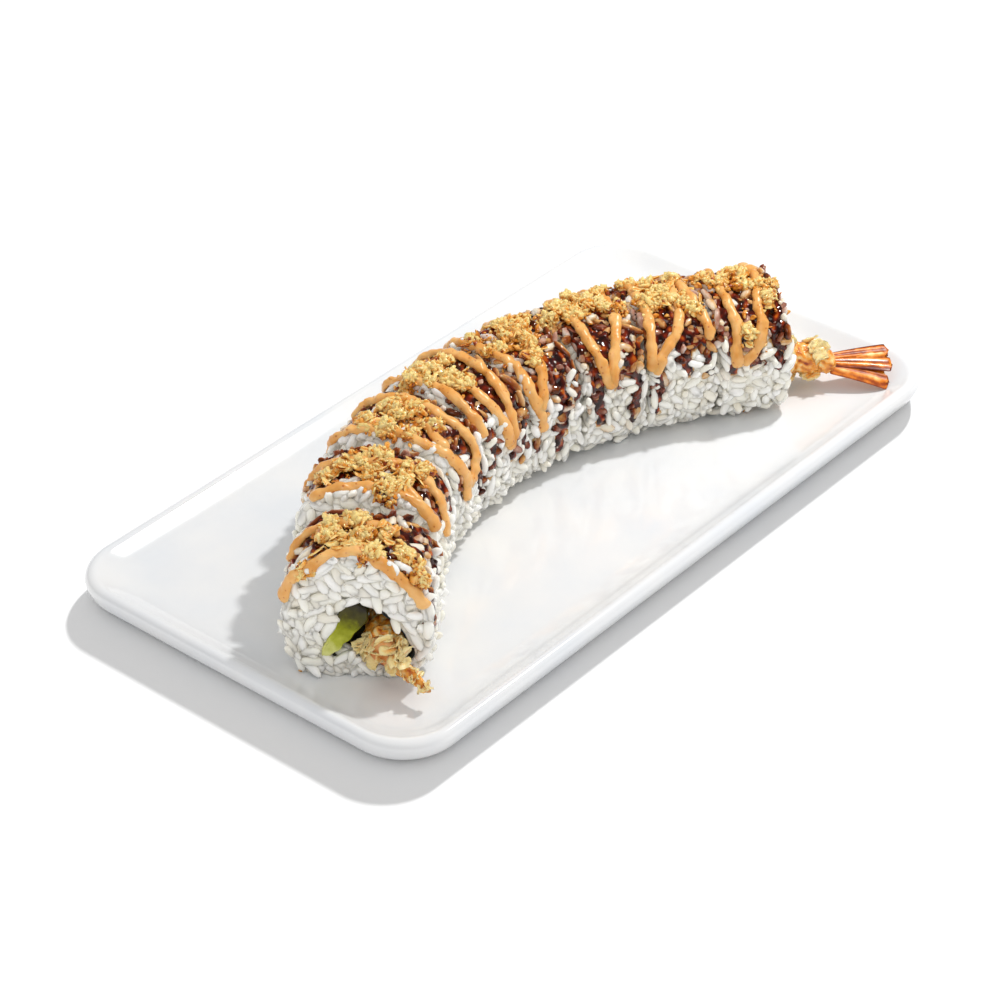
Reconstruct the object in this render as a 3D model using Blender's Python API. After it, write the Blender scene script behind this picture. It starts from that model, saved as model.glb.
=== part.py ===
"""A maki roll cut into slices and fanned in an arc along its oblong porcelain plate.

Metres, +Z up. The origin is the centre of the plate's underside, +X runs along the plate and
+Y to the side that the arc bulges towards. Each slice has its own frame: x along the roll,
y across it and z up from the rice's flat base.
"""

import math

import bmesh
import bpy
import numpy as np
from mathutils import Matrix, Vector

# The finishes' linear colours, each with its roughness.
PORCELAIN = ((0.86, 0.87, 0.88), 0.12)
RICE = ((0.80, 0.79, 0.74), 0.35)
NORI = ((0.012, 0.018, 0.012), 0.45)
AVOCADO = ((0.38, 0.44, 0.07), 0.40)
SHRIMP = ((0.68, 0.23, 0.09), 0.40)
BATTER = ((0.74, 0.42, 0.12), 0.55)
CRUNCH = ((0.66, 0.36, 0.11), 0.60)
TAIL = ((0.55, 0.13, 0.03), 0.30)
SHARP_EDGE = math.radians(50.0)

# ---- plate ----
PLATE_LENGTH = 0.300
PLATE_WIDTH = 0.1574
PLATE_CORNER = 0.021
PLATE_RIM_HEIGHT = 0.010
PLATE_FLOOR = 0.0040
PLATE_RECESS = 0.0012
CORNER_STEPS = 7
# How far in from the plate's edge, and how high, the wall's section runs from below to above.
PLATE_SECTION = (
    (0.0180, PLATE_RECESS),
    (0.0145, 0.0),
    (0.0085, 0.0),
    (0.0030, 0.0014),
    (0.0008, 0.0042),
    (0.0, 0.0070),
    (0.0006, 0.0090),
    (0.0024, PLATE_RIM_HEIGHT),
    (0.0045, 0.0093),
    (0.0085, 0.0070),
    (0.0140, 0.0050),
    (0.0210, PLATE_FLOOR),
)

# ---- roll ----
SLICES = 8
FIRST_CENTRE = (-0.1108, -0.0246)
FIRST_WIDTH = 0.0490
WIDTH_STEP = -0.0002
FIRST_HEIGHT = 0.0465
HEIGHT_STEP = -0.0004
HEADINGS = (34.0, 31.0, 18.0, 4.5, -7.0, -19.5, -28.0, -32.5)
THICKNESSES = (0.0270, 0.0275, 0.0265, 0.0265, 0.0265, 0.0265, 0.0270, 0.0275)
# Each slice is this share thinner at its inner side, and thicker at its outer side.
WEDGES = (0.03, 0.05, 0.10, 0.10, 0.10, 0.08, 0.05, 0.03)
# From one slice's inner edge to the next one's, ahead and sideways.
INNER_GAPS = (0.0095, 0.0050, 0.0018, 0.0018, 0.0020, 0.0020, 0.0014)
SIDE_STEPS = (0.0024, -0.0004, -0.0012, -0.0008, -0.0008, -0.0006, -0.0012)

CLEARANCE = 0.0003
AROUND = 20
TOP_SQUARENESS = 2.7
BASE_SQUARENESS = 4.2
RICE_BUMP = 0.0007
BUMP_DRIFT = 0.8
RICE_SEED = 100
OUTLINE_POINTS = 720
# Away from its bevelled ends, the rice lies flat on the plate below this height.
FLAT_BELOW = 0.0022
BEVEL_FROM = 0.0010
# Stations along a slice, as shares of its half thickness, and how far in the rice is there.
RICE_STATIONS = ((-1.0, 0.0020), (-0.93, 0.0006), (-0.72, 0.0), (-0.25, -0.0003),
                 (0.25, -0.0003), (0.72, 0.0), (0.93, 0.0006), (1.0, 0.0020))
HEAP_STATIONS = (2, 3, 4, 5)

# ---- filling ----
# The opening's centre across and up, its half width and half height, how much narrower it
# is at the top, and how far its top leans across.
FIRST_OPENING = (-0.0028, 0.0164, 0.0128, 0.0134, 0.46, 0.0018)
OTHER_OPENING = (-0.0010, 0.0176, 0.0130, 0.0140, 0.20, 0.0008)
OPENING_SPREAD = 0.0006
OPENING_SQUARENESS = (2.6, 3.2)
OPENING_SEED = 300
NORI_THICKNESS = 0.0008
# How much of the slice's half thickness the filling reaches to.
NORI_SHARE = 0.985
AVOCADO_SHARE = 0.975
SHRIMP_SHARE = 0.97
SHRIMP_CENTRE = (-0.0080, 0.0120)
LATER_SHRIMP_CENTRE = (-0.0052, 0.0124)
SHRIMP_HALF = (0.0048, 0.0043)
BATTER_THICKNESS = 0.0019
BATTER_END = 0.6
BATTER_GAP = 0.0005
BATTER_BUMP = 0.07
BATTER_LOBES = 3
BATTER_SEED = 500
# A filling stays within this share of the way to its lining.
ROOM_SHARE = 0.97
# The avocado's lower and upper ends, across and up, and its half thickness at each.
FIRST_AVOCADO = (0.0100, 0.0080, 0.0012, 0.0270, 0.0010, 0.0042)
OTHER_AVOCADO = (0.0100, 0.0085, -0.0006, 0.0284, 0.0018, 0.0052)
SHRIMP_AROUND = 10
AVOCADO_AROUND = 12

# ---- crunch ----
HEAP_HEIGHT = 0.0056
HEAP_EDGE = 0.0010
# The least share of the height that a lump has, and how fast the heap rises from its edges.
HEAP_LUMPS = 0.55
HEAP_RISE = (0.5, 0.6)
HEAP_END = 0.12
HEAP_SEED = 700
HEAP_GAP = 0.0006
HEAP_COLUMNS = 5
HEAP_GRID = (6, 12)
HEAP_WAVER = 0.45
# The first of the rice's columns under each heap, counted round from the base's middle.
HEAP_STARTS = (9, 8, 8, 8, 8, 8, 7, 7)

# ---- the ends of the shrimp ----
# Distance beyond the cut, across and up from the slice's base, and the half sizes there.
FRONT_TIP = ((0.0050, -0.0128, 0.0102, 0.0041, 0.0036),
             (0.0100, -0.0192, 0.0082, 0.0023, 0.0021),
             (0.0140, -0.0243, 0.0066, 0.0008, 0.0008))
FRONT_BATTER_REACH = 0.0035
REAR_BODY = ((0.0080, -0.0034, 0.0115, 0.0044, 0.0042),
             (0.0160, -0.0056, 0.0106, 0.0037, 0.0036),
             (0.0230, -0.0080, 0.0096, 0.0029, 0.0029))
REAR_BATTER_REACH = 0.0175
FAN_ROOT = (0.0247, -0.0086, 0.0093)
FAN_HEADING = -22.0
FAN_ROLL = 24.0
FAN_LENGTH = 0.0195
FAN_SPREAD = 0.0165
FAN_ROOT_WIDTH = 0.0058
FAN_THICKNESS = 0.0026
FAN_LOBES = 4
FAN_PITCH = 8.0
FAN_ARCH = -0.0016
# The blades' length at a notch, as a share of the whole, and how square a tip is.
FAN_NOTCH = 0.66
FAN_TIP = 0.7
FAN_GRID = (6, 17)


def clear_scene():
    """Remove every object, so that the model is the only thing in the file."""
    for thing in list(bpy.data.objects):
        bpy.data.objects.remove(thing, do_unlink=True)


def principled(name, colour, roughness, metallic=0.0):
    """A Principled material of one linear colour."""
    material = bpy.data.materials.new(name)
    material.use_nodes = True
    shader = material.node_tree.nodes["Principled BSDF"]
    shader.inputs["Base Color"].default_value = (*colour, 1.0)
    shader.inputs["Roughness"].default_value = roughness
    shader.inputs["Metallic"].default_value = metallic
    return material


def add_object(name, vertices, faces, material, parent=None):
    """Make a closed mesh object whose faces point out, in its parent's frame."""
    mesh = bpy.data.meshes.new(name)
    mesh.from_pydata([tuple(v) for v in vertices], [], faces)
    work = bmesh.new()
    work.from_mesh(mesh)
    bmesh.ops.recalc_face_normals(work, faces=work.faces)
    work.to_mesh(mesh)
    work.free()
    mesh.shade_smooth()
    mesh.set_sharp_from_angle(angle=SHARP_EDGE)
    mesh.materials.append(material)
    thing = bpy.data.objects.new(name, mesh)
    thing.parent = parent
    bpy.context.scene.collection.objects.link(thing)
    return thing


def band(first, second, count):
    """The quads between two rings of count points, given each ring's first index."""
    return [(first + k, first + (k + 1) % count, second + (k + 1) % count, second + k)
            for k in range(count)]


def fan_cap(ring, centre, count):
    """The triangles from a ring of count points to one centre point."""
    return [(ring + k, ring + (k + 1) % count, centre) for k in range(count)]


def capped_loft(name, rings, material, parent=None):
    """Join rings in order and close both ends with a fan to the end ring's middle."""
    count = len(rings[0])
    vertices = np.concatenate(list(rings) + [rings[0].mean(0)[None], rings[-1].mean(0)[None]])
    faces = []
    for k in range(len(rings) - 1):
        faces += band(k * count, (k + 1) * count, count)
    faces += fan_cap(0, len(vertices) - 2, count)
    faces += fan_cap((len(rings) - 1) * count, len(vertices) - 1, count)
    return add_object(name, vertices, faces, material, parent)


def ring_loft(name, rings, material, parent=None):
    """Join rings in order and the last to the first, as the skin of a tube's wall."""
    count = len(rings[0])
    faces = []
    for k in range(len(rings)):
        faces += band(k * count, (k + 1) % len(rings) * count, count)
    return add_object(name, np.concatenate(rings), faces, material, parent)


def even_loop(points, count):
    """Points at equal steps along a closed loop, starting at its first point."""
    loop = np.vstack([points, points[:1]])
    walked = np.concatenate([[0.0], np.cumsum(np.linalg.norm(np.diff(loop, axis=0), axis=1))])
    steps = np.linspace(0.0, walked[-1], count, endpoint=False)
    return np.stack([np.interp(steps, walked, loop[:, k]) for k in range(2)], axis=1)


def squircle(half_width, half_height, top_power, base_power, count):
    """A rounded square centred on the origin, from the middle of its base round by +Y."""
    angle = np.linspace(-0.5 * math.pi, 1.5 * math.pi, OUTLINE_POINTS, endpoint=False)
    power = np.where(np.sin(angle) < 0.0, base_power, top_power)
    across = np.sign(np.cos(angle)) * np.abs(np.cos(angle)) ** (2.0 / power) * half_width
    up = np.sign(np.sin(angle)) * np.abs(np.sin(angle)) ** (2.0 / power) * half_height
    return even_loop(np.stack([across, up], axis=1), count)


def pull_in(outline, distance):
    """Move each point of a closed outline inwards, square to the outline there."""
    along = np.roll(outline, -1, axis=0) - np.roll(outline, 1, axis=0)
    along /= np.linalg.norm(along, axis=1)[:, None]
    inwards = np.stack([-along[:, 1], along[:, 0]], axis=1)
    return outline + inwards * np.reshape(distance, (-1, 1))


def slow_bumps(count, station, seed):
    """Waves of two, three and five lobes round the slice that drift along it, in -1 to 1."""
    rng = np.random.default_rng(seed)
    phases = rng.uniform(0.0, 2.0 * math.pi, 3)
    around = np.linspace(0.0, 2.0 * math.pi, count, endpoint=False)
    waves = [np.sin(lobes * around + phase + BUMP_DRIFT * station)
             for lobes, phase in zip((2, 3, 5), phases)]
    return sum(waves) / len(waves)


def at_station(outline, x):
    """Stand a flat outline up at x, which is a number or one value for each point."""
    return np.column_stack([np.broadcast_to(x, len(outline)), outline])


# ---- plate ----

def rounded_rectangle(inset):
    """The plate's outline, inset; the corner's radius shrinks by half as much."""
    half_length = 0.5 * PLATE_LENGTH - inset
    half_width = 0.5 * PLATE_WIDTH - inset
    radius = PLATE_CORNER - 0.5 * inset
    corners = ((1, 1, 0), (-1, 1, 90), (-1, -1, 180), (1, -1, 270))
    points = []
    for side_x, side_y, start in corners:
        centre = np.array([side_x * (half_length - radius), side_y * (half_width - radius)])
        for step in range(CORNER_STEPS + 1):
            angle = math.radians(start + 90.0 * step / CORNER_STEPS)
            points.append(centre + radius * np.array([math.cos(angle), math.sin(angle)]))
    return np.array(points)


def make_plate(material):
    """The wall's section swept round the plate, closed by its recess and its floor."""
    rings = [np.column_stack([rounded_rectangle(inset), np.full(4 * (CORNER_STEPS + 1), height)])
             for inset, height in PLATE_SECTION]
    return capped_loft("plate", rings, material)


# ---- slices ----

def direction(heading):
    """Unit vectors ahead and to the left of a heading in degrees."""
    turn = math.radians(heading)
    ahead = np.array([math.cos(turn), math.sin(turn)])
    return ahead, np.array([-ahead[1], ahead[0]])


def slice_layout():
    """Each slice's centre, worked from the last one's inner rear edge across the gap."""
    centres = [np.array(FIRST_CENTRE)]
    for k in range(1, SLICES):
        ahead, left = direction(HEADINGS[k - 1])
        inner_rear = centres[-1] + ahead * inner_half_thickness(k - 1) - left * half_width(k - 1)
        step_ahead, step_left = direction(0.5 * (HEADINGS[k] + HEADINGS[k - 1]))
        inner_front = inner_rear + step_ahead * INNER_GAPS[k - 1] + step_left * SIDE_STEPS[k - 1]
        ahead, left = direction(HEADINGS[k])
        centres.append(inner_front + ahead * inner_half_thickness(k) + left * half_width(k))
    return centres


def half_width(index):
    """Half a slice's size across the roll."""
    return 0.5 * (FIRST_WIDTH + WIDTH_STEP * index)


def half_height(index):
    """Half a slice's height."""
    return 0.5 * (FIRST_HEIGHT + HEIGHT_STEP * index)


def inner_half_thickness(index):
    """Half a slice's size along the roll at the arc's inner side."""
    return 0.5 * THICKNESSES[index] * (1.0 - WEDGES[index])


def wedge_x(index, share, across):
    """Where a station lies along the slice, which is thinner at the arc's inner side."""
    spread = 1.0 + WEDGES[index] * across / half_width(index)
    return share * 0.5 * THICKNESSES[index] * spread


def rice_ring(index, share, inset):
    """The rice's outline at one station, bumpy, with its base kept flat on the plate."""
    outline = squircle(half_width(index), half_height(index), TOP_SQUARENESS, BASE_SQUARENESS,
                       AROUND)
    bumps = RICE_BUMP * (1.0 + slow_bumps(AROUND, 2.0 * share, RICE_SEED + index))
    outline = pull_in(outline, inset + bumps)
    outline[:, 1] = np.maximum(outline[:, 1] + half_height(index), 0.0)
    if inset < BEVEL_FROM:
        outline[outline[:, 1] < FLAT_BELOW, 1] = 0.0
    return at_station(outline, wedge_x(index, share, outline[:, 0]))


def opening(index):
    """The hole through the rice: a rounded square, narrower at its top and leaning."""
    first = index == 0
    across, up, half_wide, half_high, taper, lean = FIRST_OPENING if first else OTHER_OPENING
    if not first:
        shift = np.random.default_rng(OPENING_SEED + index).uniform(-1.0, 1.0, 3) * OPENING_SPREAD
        across += shift[0]
        half_wide += shift[1]
        half_high += shift[2]
    unit = squircle(1.0, 1.0, *OPENING_SQUARENESS, AROUND)
    width = half_wide * (1.0 - taper * unit[:, 1])
    shape = np.stack([across + lean * unit[:, 1] + width * unit[:, 0],
                      up + half_high * unit[:, 1]], axis=1)
    return even_loop(shape, AROUND)


def make_rice(index, material, parent):
    """The rice's outer skin from front to rear, then the wall of its opening back again."""
    rings = [rice_ring(index, share, inset) for share, inset in RICE_STATIONS]
    hole = opening(index)
    for share in (1.0, -1.0):
        rings.append(at_station(hole, wedge_x(index, share, hole[:, 0])))
    return ring_loft(f"rice_{index + 1}", rings, material, parent)


def make_nori(index, material, parent):
    """The seaweed sheet that lines the rice's opening."""
    outer = pull_in(opening(index), CLEARANCE)
    inner = pull_in(opening(index), CLEARANCE + NORI_THICKNESS)
    rings = []
    for outline, side in ((outer, -1.0), (outer, 1.0), (inner, 1.0), (inner, -1.0)):
        rings.append(at_station(outline, wedge_x(index, side * NORI_SHARE, outline[:, 0])))
    return ring_loft(f"nori_{index + 1}", rings, material, parent)


def shrimp_centre(index):
    """Where the shrimp crosses the slice: further over in the first."""
    return np.array(SHRIMP_CENTRE if index == 0 else LATER_SHRIMP_CENTRE)


def oval(centre, half_across, half_up, count, seed=None):
    """An oval round a centre; a seed gives it uneven lobes."""
    angle = np.linspace(0.0, 2.0 * math.pi, count, endpoint=False)
    swell = np.ones(count)
    if seed is not None:
        phase = np.random.default_rng(seed).uniform(0.0, 2.0 * math.pi)
        swell += BATTER_BUMP * np.sin(BATTER_LOBES * angle + phase)
    shape = np.stack([half_across * swell * np.cos(angle), half_up * swell * np.sin(angle)], 1)
    return shape + centre


def shrimp_path(index):
    """The shrimp's stations as x, across, up and half sizes, with its bare ends."""
    centre = shrimp_centre(index)
    half = 0.5 * THICKNESSES[index]
    body = [(side * SHRIMP_SHARE * half, centre[0], centre[1], *SHRIMP_HALF)
            for side in (-1.0, 0.0, 1.0)]
    if index == 0:
        tip = [(-half - reach, *rest) for reach, *rest in reversed(FRONT_TIP)]
        body = tip + body
    if index == SLICES - 1:
        body = body + [(half + reach, *rest) for reach, *rest in REAR_BODY]
    return np.array(body)


def along_path(path, x):
    """The path's across, up and half sizes at x, read between its stations."""
    return [np.interp(x, path[:, 0], path[:, k]) for k in range(1, 5)]


def make_shrimp(index, material, parent):
    """The shrimp's meat, an oval carried along its path."""
    rings = [at_station(oval((row[1], row[2]), row[3], row[4], SHRIMP_AROUND), row[0])
             for row in shrimp_path(index)]
    return capped_loft(f"shrimp_{index + 1}", rings, material, parent)


def make_batter(index, material, parent):
    """The fried coat round the shrimp, lobed outside and close to the meat inside."""
    path = shrimp_path(index)
    half = SHRIMP_SHARE * 0.5 * THICKNESSES[index]
    front = -half - (FRONT_BATTER_REACH if index == 0 else 0.0)
    rear = half + (REAR_BATTER_REACH if index == SLICES - 1 else 0.0)
    stations = [front, 0.0, rear]
    if index == SLICES - 1:
        stations = [front, 0.0, half, half + 0.5 * REAR_BATTER_REACH, rear]
    if index == 0:
        stations = [front, -half, 0.0, rear]
    stations = sorted(set(stations) | set(path[(path[:, 0] > front) & (path[:, 0] < rear), 0]))
    outer, inner = [], []
    for k, x in enumerate(stations):
        across, up, half_across, half_up = along_path(path, x)
        end_thin = BATTER_END if k in (0, len(stations) - 1) else 1.0
        grow = BATTER_GAP + BATTER_THICKNESS * end_thin
        outline = oval((across, up), half_across + grow, half_up + grow, SHRIMP_AROUND,
                       BATTER_SEED + index)
        outer.append(at_station(outline, x))
        lining = oval((across, up), half_across + BATTER_GAP, half_up + BATTER_GAP,
                      SHRIMP_AROUND)
        inner.append(at_station(lining, x))
    return ring_loft(f"batter_{index + 1}", outer + inner[::-1], material, parent)


def make_avocado(index, material, parent):
    """A wedge of avocado beside the shrimp: a drop shape, blunt at its upper end."""
    lining = pull_in(opening(index), CLEARANCE * 2.0 + NORI_THICKNESS)
    first = index == 0
    low_across, low_up, high_across, high_up, low_half, high_half = (
        FIRST_AVOCADO if first else OTHER_AVOCADO)
    low = np.array([low_across, low_up])
    high = np.array([high_across, high_up])
    axis = (high - low) / np.linalg.norm(high - low)
    side = np.array([axis[1], -axis[0]])
    angle = np.linspace(0.0, 2.0 * math.pi, AVOCADO_AROUND, endpoint=False)
    along = 0.5 - 0.5 * np.cos(angle)
    width = (low_half + (high_half - low_half) * along) * np.sin(angle)
    shape = low + np.outer(along, high - low) + np.outer(width, side)
    shape = keep_inside(shape, lining)
    rings = []
    for side in (-1.0, 0.0, 1.0):
        rings.append(at_station(shape, wedge_x(index, side * AVOCADO_SHARE, shape[:, 0])))
    return capped_loft(f"avocado_{index + 1}", rings, material, parent)


def keep_inside(shape, outline):
    """Draw points that lie beyond a closed outline back to it, towards its middle."""
    middle = outline.mean(0)
    limits = outline - middle
    bearings = np.arctan2(limits[:, 1], limits[:, 0])
    order = np.argsort(bearings)
    reach = np.linalg.norm(limits, axis=1)
    offset = shape - middle
    own = np.linalg.norm(offset, axis=1)
    room = np.interp(np.arctan2(offset[:, 1], offset[:, 0]), bearings[order], reach[order],
                     period=2.0 * math.pi)
    return middle + offset * np.minimum(1.0, ROOM_SHARE * room / own)[:, None]


def heap_bed(index, rng):
    """The patch of the rice's skin under the crunch, with a wavering edge.

    The skin is read between the rice's own stations and columns, so that it lies along them.
    """
    rings = np.array([rice_ring(index, *RICE_STATIONS[station]) for station in HEAP_STATIONS])
    rings = np.roll(rings, -HEAP_STARTS[index], axis=1)[:, :HEAP_COLUMNS + 1]
    rows, columns = HEAP_GRID
    row = np.repeat(np.linspace(0.0, len(HEAP_STATIONS) - 1.0, rows)[:, None], columns, axis=1)
    column = np.repeat(np.linspace(0.0, float(HEAP_COLUMNS), columns)[None], rows, axis=0)
    row[0] += rng.uniform(0.0, HEAP_WAVER, columns)
    row[-1] -= rng.uniform(0.0, HEAP_WAVER, columns)
    column[:, 0] += rng.uniform(0.0, HEAP_WAVER, rows)
    column[:, -1] -= rng.uniform(0.0, HEAP_WAVER, rows)
    low_row = np.minimum(row.astype(int), len(HEAP_STATIONS) - 2)
    low_column = np.minimum(column.astype(int), HEAP_COLUMNS - 1)
    up, over = (row - low_row)[..., None], (column - low_column)[..., None]
    near = rings[low_row, low_column] * (1.0 - over) + rings[low_row, low_column + 1] * over
    far = rings[low_row + 1, low_column] * (1.0 - over)
    far += rings[low_row + 1, low_column + 1] * over
    return near * (1.0 - up) + far * up


def make_crunch(index, material, parent):
    """A lumpy heap of fried crumbs that lies on the slice's top, thin at its edge."""
    rng = np.random.default_rng(HEAP_SEED + index)
    bed = heap_bed(index, rng)
    rows, columns = HEAP_GRID
    outwards = bed - np.array([0.0, 0.0, half_height(index)])
    outwards[:, :, 0] = 0.0
    outwards /= np.linalg.norm(outwards, axis=2)[:, :, None]
    along = np.sin(np.linspace(HEAP_END, math.pi - HEAP_END, rows)) ** HEAP_RISE[0]
    across = np.sin(np.linspace(0.0, math.pi, columns)) ** HEAP_RISE[1]
    lumps = rng.uniform(HEAP_LUMPS, 1.0, (rows, columns))
    height = HEAP_EDGE + (HEAP_HEIGHT - HEAP_EDGE) * np.outer(along, across) * lumps
    under = bed + outwards * HEAP_GAP
    over = under + outwards * height[:, :, None]
    layer = rows * columns
    faces = []
    for row in range(rows - 1):
        for column in range(columns - 1):
            near = row * columns + column
            far = near + columns
            faces.append((near, near + 1, far + 1, far))
            faces.append((layer + near, layer + far, layer + far + 1, layer + near + 1))
    edge = list(range(columns))
    edge += [row * columns + columns - 1 for row in range(1, rows)]
    edge += [(rows - 1) * columns + column for column in range(columns - 2, -1, -1)]
    edge += [row * columns for row in range(rows - 2, 0, -1)]
    for near, far in zip(edge, edge[1:] + edge[:1]):
        faces.append((far, near, layer + near, layer + far))
    vertices = np.concatenate([under.reshape(-1, 3), over.reshape(-1, 3)])
    return add_object(f"crunch_{index + 1}", vertices, faces, material, parent)


def make_tail_fan(material, parent):
    """The shrimp's tail: blades that spread from a narrow root, notched between their tips."""
    along_steps, across_steps = FAN_GRID
    side = np.linspace(-1.0, 1.0, across_steps)
    notch = np.abs(np.sin(0.5 * math.pi * FAN_LOBES * (side + 1.0)))
    length = FAN_LENGTH * (FAN_NOTCH + (1.0 - FAN_NOTCH) * notch ** FAN_TIP)
    far = np.linspace(0.0, 1.0, along_steps)
    half_wide = 0.5 * (FAN_ROOT_WIDTH + (FAN_SPREAD - FAN_ROOT_WIDTH) * far)
    x = np.outer(far, length)
    y = np.outer(half_wide, side)
    ridge = 0.45 + 0.55 * notch[None, :] * far[:, None] + 0.55 * (1.0 - far[:, None])
    rim = np.sqrt(np.maximum(1.0 - np.abs(side) ** 6, 0.05))
    half_thick = 0.5 * FAN_THICKNESS * ridge * rim[None, :] * (1.25 - 0.5 * far[:, None])
    arch = FAN_ARCH * side[None, :] ** 2 * far[:, None]
    top = np.stack([x, y, arch + half_thick], axis=2)
    base = np.stack([x, y, arch - half_thick], axis=2)
    rings = [np.concatenate([top[k], base[k][::-1]]) for k in range(along_steps)]
    turn = Matrix.Rotation(math.radians(FAN_HEADING), 3, "Z")
    turn = turn @ Matrix.Rotation(math.radians(FAN_PITCH), 3, "Y")
    turn = turn @ Matrix.Rotation(math.radians(FAN_ROLL), 3, "X")
    root = Vector(FAN_ROOT) + Vector((0.5 * THICKNESSES[-1], 0.0, 0.0))
    place = np.array(turn)
    rings = [ring @ place.T + np.array(root) for ring in rings]
    return tail_loft("shrimp_tail", rings, across_steps, material, parent)


def tail_loft(name, rings, columns, material, parent):
    """Join flat rings of a top and a base row, and close both ends with a strip of quads."""
    count = 2 * columns
    faces = []
    for k in range(len(rings) - 1):
        faces += band(k * count, (k + 1) * count, count)
    for first in (0, (len(rings) - 1) * count):
        for c in range(columns - 1):
            faces.append((first + c, first + c + 1, first + count - 2 - c, first + count - 1 - c))
    return add_object(name, np.concatenate(rings), faces, material, parent)


def main():
    """Build the plate, each slice in its own frame, and the tail on the last slice."""
    clear_scene()
    porcelain = principled("porcelain", *PORCELAIN)
    rice = principled("rice", *RICE)
    nori = principled("nori", *NORI)
    avocado = principled("avocado", *AVOCADO)
    shrimp = principled("shrimp", *SHRIMP)
    batter = principled("batter", *BATTER)
    crunch = principled("crunch", *CRUNCH)
    tail = principled("tail", *TAIL)
    make_plate(porcelain)
    for index, centre in enumerate(slice_layout()):
        frame = bpy.data.objects.new(f"slice_frame_{index + 1}", None)
        frame.location = (centre[0], centre[1], PLATE_FLOOR + CLEARANCE)
        frame.rotation_euler = (0.0, 0.0, math.radians(HEADINGS[index]))
        bpy.context.scene.collection.objects.link(frame)
        make_rice(index, rice, frame)
        make_nori(index, nori, frame)
        make_avocado(index, avocado, frame)
        make_shrimp(index, shrimp, frame)
        make_batter(index, batter, frame)
        make_crunch(index, crunch, frame)
    make_tail_fan(tail, frame)


main()
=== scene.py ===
"""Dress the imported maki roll: rice grains, seaweed, fillings, sauces, crumbs and its plate.

Metres, +Z up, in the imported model's own frame. Each slice of the roll has a frame read from
its own bodies: along the roll, across it (towards the arc's outer side) and up from its
base. A place on a slice's skin is two distances: along, from the slice's middle towards the
tail, and down, from its top over its near side (negative over its far side).
"""

import math

import bpy
import numpy as np
from bpy.props import FloatProperty, FloatVectorProperty, PointerProperty
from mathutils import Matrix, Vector


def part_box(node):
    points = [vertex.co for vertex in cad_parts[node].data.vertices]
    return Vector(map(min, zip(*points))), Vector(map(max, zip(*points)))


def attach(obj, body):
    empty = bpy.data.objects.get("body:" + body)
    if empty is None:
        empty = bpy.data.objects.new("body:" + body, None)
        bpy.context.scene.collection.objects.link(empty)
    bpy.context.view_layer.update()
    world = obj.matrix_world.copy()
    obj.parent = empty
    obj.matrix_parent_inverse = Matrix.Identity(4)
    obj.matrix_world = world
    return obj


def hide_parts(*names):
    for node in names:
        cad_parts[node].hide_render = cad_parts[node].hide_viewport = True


bl_info = {
    "name": "Maki Roll Plate",
    "version": (1, 0, 0),
    "blender": (4, 5, 0),
    "location": "View3D > Sidebar > Maki",
    "description": "Builds a sliced, sauced maki roll and its plate on the packed bodies",
    "category": "Add Mesh",
}

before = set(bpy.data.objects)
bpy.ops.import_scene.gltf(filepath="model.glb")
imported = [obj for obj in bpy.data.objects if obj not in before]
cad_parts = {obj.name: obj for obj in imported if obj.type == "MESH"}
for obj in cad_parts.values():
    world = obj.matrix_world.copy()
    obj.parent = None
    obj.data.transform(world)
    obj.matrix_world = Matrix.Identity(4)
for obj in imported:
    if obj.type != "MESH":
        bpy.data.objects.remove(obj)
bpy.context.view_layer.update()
SLICES = 8
MM = 0.001
SEED = 20

# ---- how the roll is laid out ----
# A slice's section is a superellipse with one power above its middle and one below.
TOP_SQUARENESS = 2.7
BASE_SQUARENESS = 4.2
# How far the seaweed's cut ends reach, as a share of the slice's half thickness.
LINING_SHARE = 0.985
# How many waves round the opening its smoothed outline keeps.
HOLE_WAVES = 9
PLATE_FLOOR = 4.0 * MM
CUT_EDGE = 2.2 * MM

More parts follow.
